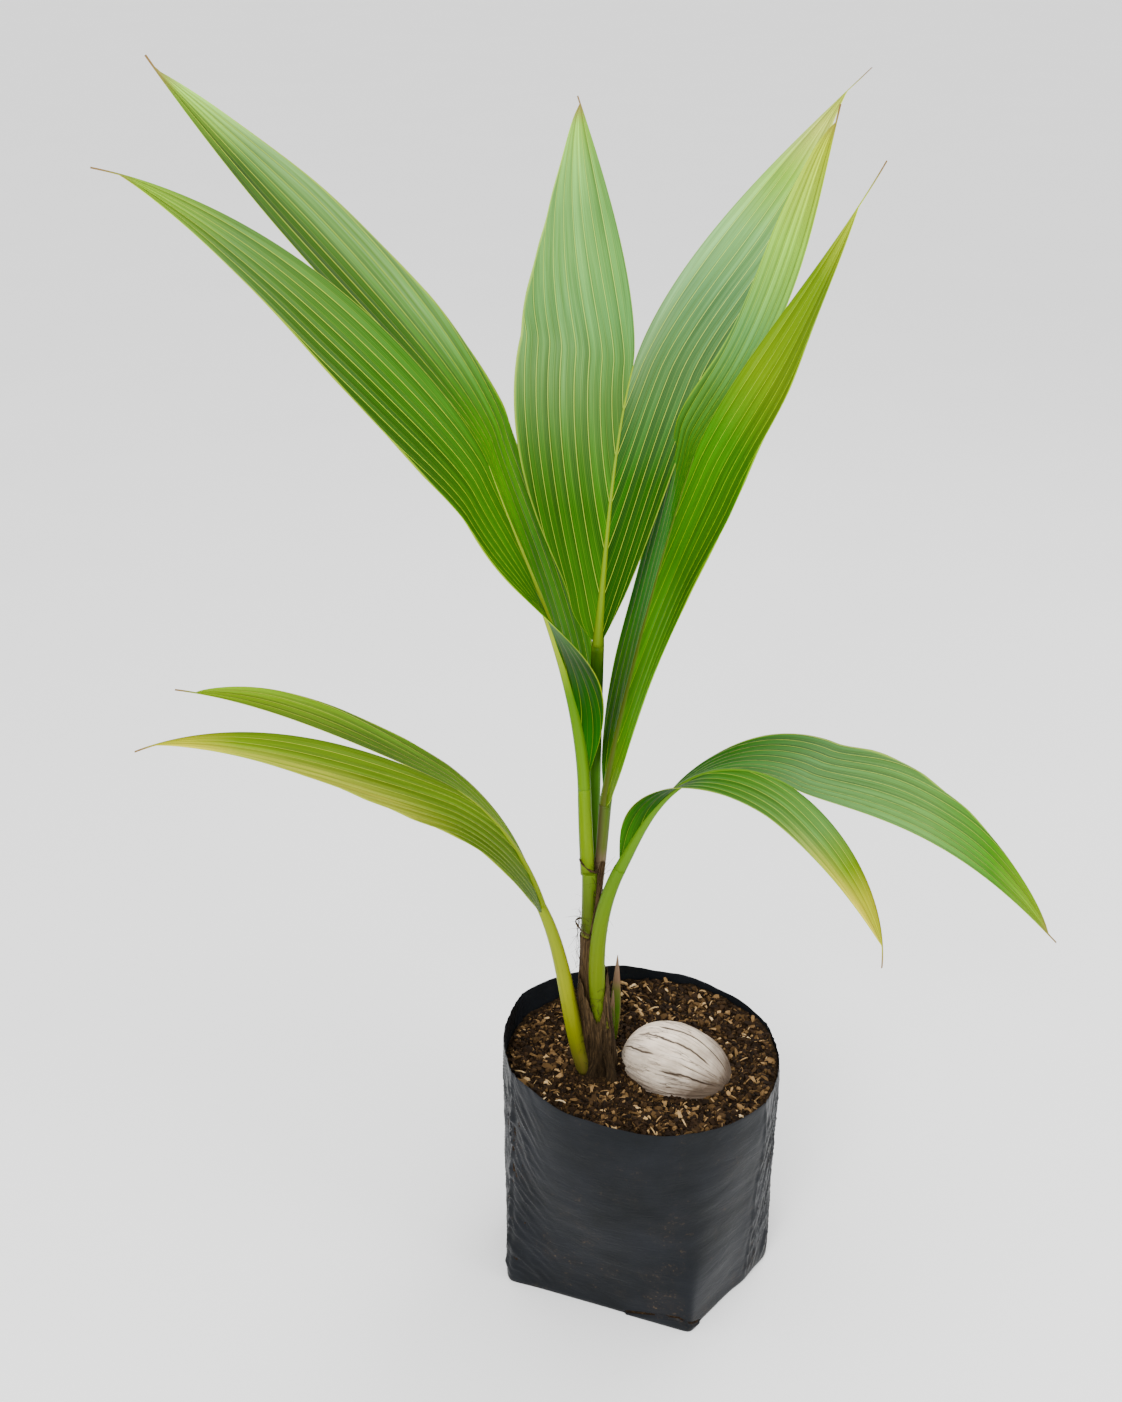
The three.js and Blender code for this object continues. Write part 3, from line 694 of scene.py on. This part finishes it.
fronds["lowLeft"] = {
    "node": "low_left", "slot": "old_frond", "collar": (-104, -10, 451), "rib": "#bcc038",
    "stalk": {"length": 212, "lean": [17, -1, 23], "heading": [168, 170, 183], "radii": [9.8, 9.0, 5.3],
              "stops": [(0.0, "#463b16"), (0.1, "#5c561c"), (0.22, "#6c7010"), (0.5, "#7f8406"),
                        (1.0, "#78880c")],
              "side": (0.22, 0.14, "#6a6014")},
    "midrib": {"length": 165, "lean": [13, 23, 34, 49], "heading": [183, 186, 188, 190],
               "radii": [5.4, 3.0, 1.8, 0.6], "side": (0.22, 0.16, "#7a6a14"),
               "stops": [(0.0, "#76880a"), (1.0, "#7f9418")]},
    "halves": {
        "near": {
            "side": -1, "length": 316, "lean": [63, 60, 107], "heading": [191, 187, 194], "width": 74,
            "rise": 0.51, "fall": 1.06, "trim": [0.95, 1.1, 1.15], "roll": [2, -15, -19],
            "thread": 0.03, "pleats": 5,
            "sheen": {"across": (0.35, 0.92), "along": (0.3, 0.5), "tones": (0.95, 1.6), "frost": 0.36,
                      "tint": "sand"},
            "tones": {0.05: "olive", 0.3: "moss", 0.7: "moss", 0.8: "lime", 0.9: "gold"}},
        "far": {
            "side": 1, "length": 285, "lean": [70, 55, 84], "heading": [181, 177, 177], "width": 51,
            "rise": 0.75, "fall": 0.75, "trim": [0.95, 1.1, 1.05], "roll": [-1, -10, 18],
            "thread": 0.04, "pleats": 4,
            "sheen": {"across": (0.35, 0.8), "along": (0.4, 0.55), "tones": (0.78, 1.45), "frost": 0},
            "tones": {0.05: "deep", 0.2: "moss", 0.4: "olive", 0.58: "olive", 0.75: "moss",
                      0.93: "lime"}},
    },
}
fronds["lowRight"] = {
    "node": "low_right", "slot": "full_frond", "collar": (-27, -30, 507), "rib": "#b0c038",
    "stalk": {"length": 206, "lean": [-12, 5, 23], "heading": [-45, -45, -30], "radii": [8.8, 8.4, 6.4],
              "stops": [(0.0, "#5a5a12"), (0.1, "#4e5e0c"), (0.4, "#586a06"), (1.0, "#4b7008")],
              "side": (0.25, 0.2, "#33500a")},
    "midrib": {"length": 247, "lean": [24, 13, 63, 108], "heading": [-14, -21, -30, -33],
               "radii": [6.4, 3.2, 1.8, 0.6], "side": (0.25, 0.2, "#3f6410"),
               "stops": [(0.0, "#4b7008"), (1.0, "#5f8c1c")]},
    "halves": {
        "near": {
            "side": 1, "length": 194, "lean": [117, 135, 180], "heading": [-39, -43, -50], "width": 50,
            "rise": 0.99, "fall": 0.86, "trim": [1.1, 0.9, 0.8], "roll": [93, -66, 8],
            "thread": 0.05, "pleats": 5,
            "sheen": {"across": (0.45, 0.95), "along": (0.55, 0.78), "tones": (0.92, 1.4), "frost": 0.5,
                      "tint": "sand"},
            "tones": {0.1: "green", 0.2: "deep", 0.3: "shade", 0.38: "green", 0.5: "leaf",
                      0.66: "fern", 0.76: "lime", 0.84: "gold"}},
        "far": {
            "side": -1, "length": 293, "lean": [85, 130, 136], "heading": [-2, -5, -9], "width": 87,
            "rise": 1.2, "fall": 0.75, "trim": [1.05, 1.4, 1.15], "roll": [-5, 1, 11],
            "thread": 0.02, "pleats": 6,
            "sheen": {"across": (0.5, 0.1), "along": (0.42, 0.52), "tones": (1.06, 1.2), "frost": 0},
            "tones": {0.12: "deep", 0.3: "deep", 0.44: "sage", 0.7: "fern", 0.84: "grass",
                      0.96: "lime"}},
    },
}

# what all halves share; a rib leaves the midrib at the fan's angle, at the collar and at the fork
lamina = {
    "pleatRise": 0.05, "thickness": 0.5, "threadWidth": 0.9, "tipWidth": 1.7, "forkEase": 0.6,
    "fan": (22, 13), "columns": 84, "rows": 140, "ripple": 1.2, "bow": 0.05, "easing": 0.035,
    "stalkLap": 2.5,
}


# how wide a half is at t: a leaf outline, trimmed, that runs out into a thread
def spreadAt(half, t):
    rise, fall = half["rise"], half["fall"]
    widest = rise / (rise + fall)
    peak = widest ** rise * (1 - widest) ** fall
    s = np.clip(t / (1 - half["thread"]), 0, 1)
    leaf = half["width"] * s ** rise * (1 - s) ** fall / peak * blend([1, *half["trim"], 1], t)
    middle, reach, amount = half.get("swell", (0, 1, 0))
    leaf = leaf * (1 + amount * np.exp(-((t - middle) / reach) ** 2))
    thread = lamina["threadWidth"] * (1.15 - t) + lamina["tipWidth"] * smooth(0.8, 0.97, t)
    return np.maximum(leaf, np.minimum(thread, half["width"] * t * 4))


# which rib a spot lies on: 0 starts at the collar and 1 at the fork, and each leaves the midrib
# at a slant and then runs on beside its neighbours; found by halving an interval again and again
def ribAt(u, t, fork, length, width):
    low, high = np.full_like(u, -3), np.ones_like(u)
    width = np.maximum(width, 0.3)
    lowFan, highFan = lamina["fan"]
    for _ in range(26):
        middle = (low + high) / 2
        slant = lowFan + (highFan - lowFan) * np.clip(middle, 0, 1)
        out = np.clip(t - middle * fork, 0, None) * length * np.tan(np.radians(slant))
        room = np.maximum((1 - middle) * width, 1e-6)
        inside = room * (1 - np.exp(-out / room)) > u * width
        low = np.where(inside, middle, low)
        high = np.where(inside, high, middle)
    return (low + high) / 2


# half a frond: u runs from the midrib out and v from the collar to the tip, past the fork alone
def halfBlade(midribShape, midrib, half, seed):
    lobe = Bend(midrib.points[-1], {
        "length": half["length"], "lean": [midribShape["lean"][-1], *half["lean"]],
        "heading": [midribShape["heading"][-1], *half["heading"]]}, lamina["forkEase"])
    whole = midrib.length + lobe.length
    fork = midrib.length / whole
    side, pleats = half["side"], half["pleats"]

    # the frame on a fine ladder of places, eased over the fork
    ladder = np.linspace(0, 1, 301)
    below = (ladder < fork)[:, None]
    one = midrib.at(np.clip(ladder / fork, 0, 1))
    two = lobe.at(np.clip((ladder - fork) / (1 - fork), 0, 1))
    point, right, up = [np.where(below, a, b) for a, b in zip(one, two)]
    roll = np.radians(blend(half["roll"], ladder))[:, None]
    across = right * side * np.cos(roll) + up * np.sin(roll)
    facing = up * np.cos(roll) - right * side * np.sin(roll)
    weights = np.exp(-((ladder[:, None] - ladder) / lamina["easing"]) ** 2)
    across, facing = [part / np.linalg.norm(part, axis=1)[:, None]
                      for part in (weights @ across, weights @ facing)]

    def rung(table, v):
        return xyz(*[np.interp(v, ladder, column) for column in table.T])

    def phaseAt(u, v):
        return ribAt(u, v, fork, whole / mm, spreadAt(half, v)) * pleats

    # the second layer's v grows by 1 every 100 mm
    def marks(u, v):
        return {"surface": (phaseAt(u, v), v), "spread": (u, whole * v * 10)}

    def place(u, v):
        width = spreadAt(half, v)
        ridge = np.abs(2 * (phaseAt(u, v) % 1) - 1)
        pleat = width / pleats * lamina["pleatRise"] * (2 * ridge - 1) * smooth(0.0, 0.08, u)
        free = smooth(0.3, 1.0, u) * smooth(0.15, 0.5, v) * (1 - smooth(0.9, 1, v))
        ripple = wobble(xyz(v * whole, u * 0.03, 0), 0.07, seed) * lamina["ripple"] * free
        sag = width * lamina["bow"] * 4 * u * (1 - u) * smooth(0, 0.15, v)
        return rung(point, v) + rung(across, v) * (width * u * mm)[:, None] \
            + rung(facing, v) * ((pleat + ripple - sag) * mm)[:, None]

    return sheet(lamina["columns"], lamina["rows"], place, marks, flip=side < 0)


# Palm leaflet: a satin cuticle over pleated tissue that lets some light through. Each pleat, 10 to
# 17 mm wide, has a face paled by painted light and a face darkened by painted shade, a bright rib with
# a painted shadow in the crease beside it, a fainter rib between its faces and veins 2 mm apart; the
# margins are pale and the tips dry to straw. Its sheen is painted light and shade: it darkens a deep
# side and pales the other with a painted reflection of the sky, which a sand tint turns into an old
# leaf's real yellowing. The last two arguments set the lower side off from the upper: the first
# darkens it with painted shade, the second makes its ribs fainter
def leafPaint(name, half, rib, shadeFactor, ribbing):
    sheen = half["sheen"]
    material, add = newMaterial(name)
    uv = add("UVMap", uv_map="surface")
    phase = add("SeparateXYZ", {"Vector": uv}, out="X")
    along = add("SeparateXYZ", {"Vector": uv}, out="Y")
    across = add("SeparateXYZ", {"Vector": add("UVMap", uv_map="spread")}, out="X")

    def product(first, *others):
        for other in others:
            first = add("Math", {0: first, 1: other}, operation="MULTIPLY")
        return first

    def streaks(fine, coarse, low, high, detail=3.0):
        return add("MapRange", {"Value": drawnOut(add, uv, (fine, coarse, 1.0), detail, 0.6),
                                "From Min": 0.3, "From Max": 0.7, "To Min": low, "To Max": high})

    # a line at every period of the phase, shifted: full out to inner, and gone from outer on
    def line(period, shift, inner, outer, full=1.0):
        shifted = add("Math", {0: phase, 1: shift}, operation="ADD")
        near = add("Math", {0: shifted, 1: period / 2}, operation="PINGPONG")
        return add("MapRange", {"Value": near, "From Min": inner, "From Max": outer, "To Min": full,
                                "To Max": 0.0}, interpolation_type="SMOOTHSTEP")

    # each pleat's faces: one paled by painted light, one darkened by painted shade
    faces = add("ValToRGB", {"Fac": add("Math", {0: phase}, operation="FRACT")}, stops=[
        (0.0, "#e8e8e8"), (0.1, "#f2f2f2"), (0.47, "#e0e0e0"), (0.53, "#d2d2d2"), (0.9, "#c4c4c4"),
        (1.0, "#b6b6b6")])
    pleat = add("TexWhiteNoise", {"W": add("Math", {0: phase}, operation="FLOOR")},
                noise_dimensions="1D")
    ownTone = add("MapRange", {"Value": pleat, "To Min": 0.88, "To Max": 1.16})
    # the faces' painted light and shade, times each pleat's own tone and the tissue's streaks
    shadeAndStreaks = product(faces, ownTone, streaks(2.2, 2.5, 0.7, 1.36), streaks(26.0, 5.0, 0.82, 1.22, 4.0))
    # a painted shadow in the crease beside each rib
    creases = add("Math", {0: line(1.0, -0.065, 0.01, 0.045), 1: -0.5, 2: 1.0},
                  operation="MULTIPLY_ADD")
    turned, reached = [
        add("MapRange", {"Value": where, "From Min": span[0], "From Max": span[1]},
            interpolation_type="SMOOTHSTEP")
        for where, span in ((across, sheen["across"]), (along, sheen["along"]))]
    # the sheen: painted shade on the deep side, painted light on the pale side
    shadedTone, sheenTone = sheen["tones"]
    shadeToSheen = add("MapRange", {"Value": turned, "To Min": shadedTone, "To Max": sheenTone})
    sided = add("Mix", {"Factor": reached, 2: 1.0, 3: shadeToSheen})
    ramp = add("ValToRGB", {"Fac": along},
               stops=[(place, greens[tone]) for place, tone in half["tones"].items()])
    # toward the tint: frost is a painted reflection of the sky, sand an old leaf's real yellowing
    sheenAndYellowing = add("Mix", {
        "Factor": product(turned, reached, streaks(4.0, 5.0, 0.5, 1.5), sheen["frost"]),
        6: ramp, 7: colour(greens[sheen.get("tint", "frost")])}, out=2, data_type="RGBA")
    # the colour, darkened on the lower side by painted shade
    toned = add("VectorMath", {0: sheenAndYellowing, "Scale": product(shadeAndStreaks, creases, sided, 1.2 * shadeFactor)},
                operation="SCALE")
    brighter = add("VectorMath", {0: ramp, "Scale": 2.4 * shadeFactor}, operation="SCALE")
    ribTone = add("Mix", {"Factor": 0.72, 6: brighter, 7: colour(rib)}, out=2, data_type="RGBA")
    ribs = add("Math", {0: line(1.0, 0.0, 0.014, 0.036, ribbing),
                        1: line(1.0, 0.5, 0.006, 0.026, 0.22 * ribbing)}, operation="MAXIMUM")
    veined = add("Math", {0: ribs, 1: line(0.125, 0.03, 0.0, 0.02, 0.14 * ribbing)},
                 operation="MAXIMUM")
    margin = add("MapRange", {"Value": across, "From Min": 0.972, "From Max": 0.992, "To Max": 0.75})
    ribbed = add("Mix", {"Factor": add("Math", {0: veined, 1: margin}, operation="MAXIMUM"),
                         6: toned, 7: ribTone}, out=2, data_type="RGBA")
    dry = add("Math", {0: streaks(26.0, 5.0, 0.0, 1.0), 1: 0.03, 2: along}, operation="MULTIPLY_ADD")
    driedUp = add("MapRange", {"Value": dry, "From Min": 0.968, "From Max": 1.002})
    tissue = add("Mix", {"Factor": driedUp, 6: ribbed, 7: colour("#8c7040")}, out=2, data_type="RGBA")
    relief = add("Math", {0: ribs, 1: shadeAndStreaks, 2: veined}, operation="MULTIPLY_ADD")
    bump = add("Bump", {"Height": relief, "Strength": 0.35, "Distance": 0.0004})
    skin = add("BsdfPrincipled", {"Base Color": tissue, "Roughness": 0.45, "Normal": bump,
                                  "Specular IOR Level": 0.04})
    glow = add("BsdfTranslucent", {"Color": tissue, "Normal": bump})
    add("OutputMaterial", {"Surface": add("MixShader", {0: 0.22, 1: skin, 2: glow})})
    return material


# Petiole: smooth waxy skin over fibre, with about 22 stripes round it, flecked, browner at the
# foot, and tinted down one side, mostly with a darker tint that is painted shade
def stalkPaint(name, stops, side):
    sideMiddle, sideWidth, sideTint = side
    material, add = newMaterial(name)
    uv = add("UVMap", uv_map="surface")
    stripes = drawnOut(add, uv, (22.0, 2.0, 1.0), 4.0, 0.65)
    flecks = drawnOut(add, uv, (12.0, 30.0, 1.0), 5.0, 0.6)
    turned = add("Math", {0: add("SeparateXYZ", {"Vector": uv}, out="X"), 1: sideMiddle},
                 operation="SUBTRACT")
    apart = add("Math", {0: turned, 1: 0.5}, operation="PINGPONG")
    striped = add("MapRange", {"Value": stripes, "From Min": 0.35, "From Max": 0.7, "To Max": 0.3})
    # a tint down one side, mostly painted shade
    sided = add("MapRange", {"Value": apart, "From Max": sideWidth, "To Min": 0.8, "To Max": 0.0},
                interpolation_type="SMOOTHSTEP")
    flecked = add("MapRange", {"Value": flecks, "From Min": 0.62, "From Max": 0.74, "To Max": 0.4})
    base = add("ValToRGB", {"Fac": add("SeparateXYZ", {"Vector": uv}, out="Y")}, stops=stops)
    for factor, tint in ((striped, "#3a5008"), (sided, sideTint), (flecked, "#4b3412")):
        base = add("Mix", {"Factor": factor, 6: base, 7: colour(tint)}, out=2, data_type="RGBA")
    skin = add("BsdfPrincipled", {
        "Base Color": base, "Roughness": 0.4, "Specular IOR Level": 0.07,
        "Normal": add("Bump", {"Height": stripes, "Strength": 0.3, "Distance": 0.0006})})
    add("OutputMaterial", {"Surface": skin})
    return material


for index, (name, shape) in enumerate(fronds.items()):
    node, stalkShape, ribShape = shape["node"], shape["stalk"], shape["midrib"]
    collar = np.array(shape["collar"]) * mm
    upwards = directionOf(stalkShape["lean"][-1], stalkShape["heading"][-1])
    stalk = Bend((0, 0, 0), stalkShape).endAt(collar + upwards * lamina["stalkLap"] * mm)
    midrib = Bend(collar, ribShape)
    for number, (halfName, half) in enumerate(shape["halves"].items()):
        label = f"palm leaflet, {name} {halfName}, "
        # the lower side: darkened by painted shade, with fainter ribs
        faces = [leafPaint(label + "upper side", half, shape["rib"], 1.0, 1.0),
                 leafPaint(label + "lower side", half, shape["rib"], 0.8, 0.4)]
        piece = addPiece(name + halfName.capitalize() + "Half",
                         halfBlade(ribShape, midrib, half, 10 * index + number), faces,
                         shape["slot"], f"{node}_{halfName}_blade", f"{node}_{halfName}_lobe")
        thicken(piece, lamina["thickness"], materialStep=1)
    addPiece(name + "Stalk", limb(stalk, stalkShape["radii"], groove=0.06, seed=index),
             [stalkPaint("waxy petiole, " + name, stalkShape["stops"], stalkShape["side"])], "petiole",
             f"{node}_petiole")
    addPiece(name + "Midrib", limb(midrib, ribShape["radii"], groove=0.06, seed=index),
             [stalkPaint("waxy midrib, " + name, ribShape["stops"], ribShape["side"])], "midrib",
             f"{node}_midrib")
    print("frond", name)


# the short stem with its green sheath, the dry sheath round the foot, the old scars, and the
# spear of two young leaves. A scar has its middle, its reaches and how far it tips, and an outline
# row of the wrap its height, middle and reaches. A strip and a spear leaf have their start, end,
# radii and flatness, and a strip also the heading that it faces. Threads stand on the wrap, above
# it on the stem's band and, from the strip's band up, on the brown strip: (x, y, radius)
stem = {
    "foot": (-48, -3, 240), "radii": [21, 13, 11.5],
    "shape": {"length": 172, "lean": [5, 1, -1], "heading": [180, 180, 180]},
    "sheathFoot": (-55, -3, 410), "sheathRadii": [9, 8.0, 7.7],
    "sheath": {"length": 77, "lean": [0, 0, 1], "heading": [180, 180, 180]},
    "scars": {"upperScar": ((-56, -2, 495), (9.3, 10.5), 6), "lowerScar": ((-58, -3, 420), (11, 12), 7)},
    "wrap": [(244, -45, -8, 16, 18), (268, -45, -10, 14.5, 17), (300, -45.5, -13, 14, 18.5),
             (368, -51, -10, 15, 17)],
    "wrapNotch": (-88, 322, 366, 75), "wrapWall": 0.6,
    "strips": {"brownStrip": ((-43, -4, 500), (-54, -14, 402), (3.6, 4.6, 4.0), 0.5, -138),
               "driedStub": ((-31, -33, 244), (-34, -32, 285), (6.5, 5.0, 1.2), 0.45, -90),
               "tornFlapLeft": ((-54, -25, 243), (-38, -29, 308), (6, 4.6, 0.6), 0.22, -95),
               "tornFlapRight": ((-30, -23, 243), (-47, -28, 318), (5.5, 4.2, 0.6), 0.22, -75),
               "tornFlapSide": ((-27, -12, 243), (-33, -17, 330), (6, 4.4, 0.6), 0.22, -40)},
    "spear": {"spearOuter": ((-26.5, 37, 243), (-24.5, 38, 356), (1.6, 8.2, 4.8, 0.4), 0.3),
              "spearInner": ((-30.5, 35, 246), (-28.5, 36, 312), (2.0, 4.4, 3.0, 0.4), 0.4)},
    "threads": 460, "threadRadius": 0.3, "threadLengths": (6, 26, 12), "seed": 5,
    "threadHeights": [(246, 320), (246, 345), (300, 430), (410, 500)],
    "stemBand": (-57, -4, 11.4), "stemDrift": 0.02, "stripBand": (-47, -8, 4.4), "stripFrom": 440,
}


# a straight limb's bend between two points in millimetres, with its upper side turned to a heading
def straight(start, end, facing):
    way = np.array(end, float) - np.array(start, float)
    length = float(np.linalg.norm(way))
    bend = Bend(np.array(start) * mm, {
        "length": length, "lean": [math.degrees(math.acos(way[2] / length))],
        "heading": [math.degrees(math.atan2(way[1], way[0]))]})
    bend.heading = [facing]
    return bend


# Dry leaf bases: matted brown fibre, about 34 threads round a limb, matt and darker near the mix
fibrePaint, add = newMaterial("dry fibrous leaf base")
threads = drawnOut(add, add("UVMap", uv_map="surface"), (34.0, 4.0, 1.0), 6.0, 0.72, 0.5)
matted = add("ValToRGB", {"Fac": threads},
             stops=[(0.3, "#150d05"), (0.48, "#332614"), (0.64, "#57432a"), (0.8, "#8a6e48")])
height = add("SeparateXYZ", {"Vector": add("TexCoord", out="Object")}, out="Z")
# darker towards the mix, below 0.35 m
darkerLow = add("MapRange", {"Value": height, "From Min": 0.25, "From Max": 0.35, "To Min": 0.5})
dull = add("BsdfPrincipled", {
    "Base Color": add("VectorMath", {0: matted, "Scale": darkerLow}, operation="SCALE"),
    "Normal": add("Bump", {"Height": threads, "Strength": 0.9, "Distance": 0.0012}),
    "Roughness": 0.85, "Specular IOR Level": 0.12})
add("OutputMaterial", {"Surface": dull})

stemBend = Bend(np.array(stem["foot"]) * mm, stem["shape"])
addPiece("fibrousStem", limb(stemBend, stem["radii"], sides=64, rows=90, rough=0.07, seed=3),
         [fibrePaint], "fibrous_sheath", "stem")
sheathBend = Bend(np.array(stem["sheathFoot"]) * mm, stem["sheath"])
sheathPaint = stalkPaint("green leaf sheath", [(0.0, "#5c5a1c"), (0.14, "#465212"), (0.5, "#46560e"),
                                               (1.0, "#5a7410")], (0.2, 0.14, "#55451f"))
addPiece("greenSheath", limb(sheathBend, stem["sheathRadii"], sides=36), [sheathPaint],
         "green_sheath", "sheath")


# the torn dry sheath that wraps the foot, notched in front where the lowest petiole stands
def placeWrap(u, v):
    turn = u * 2 * math.pi
    facing, low, high, spread = stem["wrapNotch"]
    apart = np.abs(turnedFrom(np.degrees(turn), facing))
    top = low + (high - low) * smooth(0, spread, apart)
    top = top + wobble(onRing(turn), 0.16, 2) * 5 + wobble(onRing(turn), 0.05, 6) * 5
    foot = stem["wrap"][0][0]
    height = foot + (top - foot) * v
    middleX, middleY, reachX, reachY = readOff(stem["wrap"], height)
    spots = onRing(turn, 1, height * 0.004)
    folds = wobble(spots, 0.22, 4) * 1.1 + wobble(spots * [1, 1, 0.4], 0.07, 1) * 0.7
    return xyz(middleX + (reachX + folds) * np.cos(turn), middleY + (reachY + folds) * np.sin(turn),
               height) * mm


thicken(addPiece("drySheath", sheet(150, 46, placeWrap), [fibrePaint], "fibrous_sheath"),
        stem["wrapWall"])


# a scar is a thin rough ring round the stem, tipped to one side
def scarRing(middle, reach, tip):
    def place(u, v):
        turn, inRing = u * 2 * math.pi, v * 2 * math.pi
        spots = onRing(turn, 1, np.cos(inRing) * 0.2)
        bead = 0.75 + 0.4 * wobble(spots, 0.25, middle[2])
        out = bead * np.cos(inRing)
        lift = bead * 1.5 * np.sin(inRing) - tip * np.cos(turn) + wobble(spots, 0.5, 3) * 1.2
        return xyz(middle[0] + (reach[0] + out) * np.cos(turn),
                   middle[1] + (reach[1] + out) * np.sin(turn), middle[2] + lift) * mm
    bm = sheet(72, 8, place)
    bmesh.ops.remove_doubles(bm, verts=bm.verts, dist=1e-6)
    bmesh.ops.recalc_face_normals(bm, faces=bm.faces)
    return bm


for name, scar in stem["scars"].items():
    addPiece(name, scarRing(*scar), [fibrePaint], "fibrous_sheath")
for name, (start, end, radii, flat, facing) in stem["strips"].items():
    strip = limb(straight(start, end, facing), radii, sides=28, rows=60, flat=flat, rough=0.14, seed=7)
    addPiece(name, strip, [fibrePaint], "fibrous_sheath")

spearPaint = stalkPaint("spear leaf", [(0.0, "#5f7a1c"), (0.4, "#3e6215"), (0.6, "#5b6228"),
                                       (0.72, "#7a5f4c"), (1.0, "#8f7462")], (0.0, 0.16, "#6a4a38"))
for name, (start, end, radii, flat) in stem["spear"].items():
    replaced = ["spike"] if name == "spearOuter" else []
    addPiece(name, limb(straight(start, end, 90), radii, flat=flat), [spearPaint], "green_sheath",
             *replaced)


# one loose fibre: a three-sided thread that leaves its start and curls
def threadBm(start, way, curl, length):
    def place(u, v):
        radius = stem["threadRadius"] * (1.1 - 0.8 * v)
        middle = start + way * (length * v)[:, None] + curl * (length * v ** 2)[:, None]
        return (middle + onRing(u * 2 * math.pi, radius)) * mm
    return sheet(3, 7, place, closed=True)


rng = random.Random(stem["seed"])
threadsBm = bmesh.new()
for _ in range(stem["threads"]):
    heading = math.radians(rng.uniform(0, 360))
    height = rng.choice([rng.uniform(*span) for span in stem["threadHeights"]])
    middleX, middleY, reachX, reachY = readOff(stem["wrap"], height)
    above = height - stem["wrap"][-1][0]
    if above > 0:
        middleX, middleY, reachX = stem["stemBand"]
        middleX += above * stem["stemDrift"]
        reachY = reachX
    if height > stem["stripFrom"]:
        middleX, middleY, reachX = stem["stripBand"]
        reachY = reachX
    out = np.array([math.cos(heading), math.sin(heading), 0])
    start = np.array([middleX + reachX * out[0], middleY + reachY * out[1], height])
    side = np.cross([0, 0, 1], out)
    way = side * rng.gauss(0, 0.7) + np.array([0, 0, rng.choice([-1, 1, 1])]) + out * 0.08
    curl = out * rng.uniform(-0.35, 0.3) + side * rng.gauss(0, 0.5) + np.array([0, 0, -0.3])
    length = rng.triangular(*stem["threadLengths"])
    thread = meshOf(threadBm(start, way / np.linalg.norm(way), curl, length), "thread")
    threadsBm.from_mesh(thread)
    bpy.data.meshes.remove(thread)
addPiece("looseFibres", threadsBm, [fibrePaint], "fibrous_sheath")
print("stem")
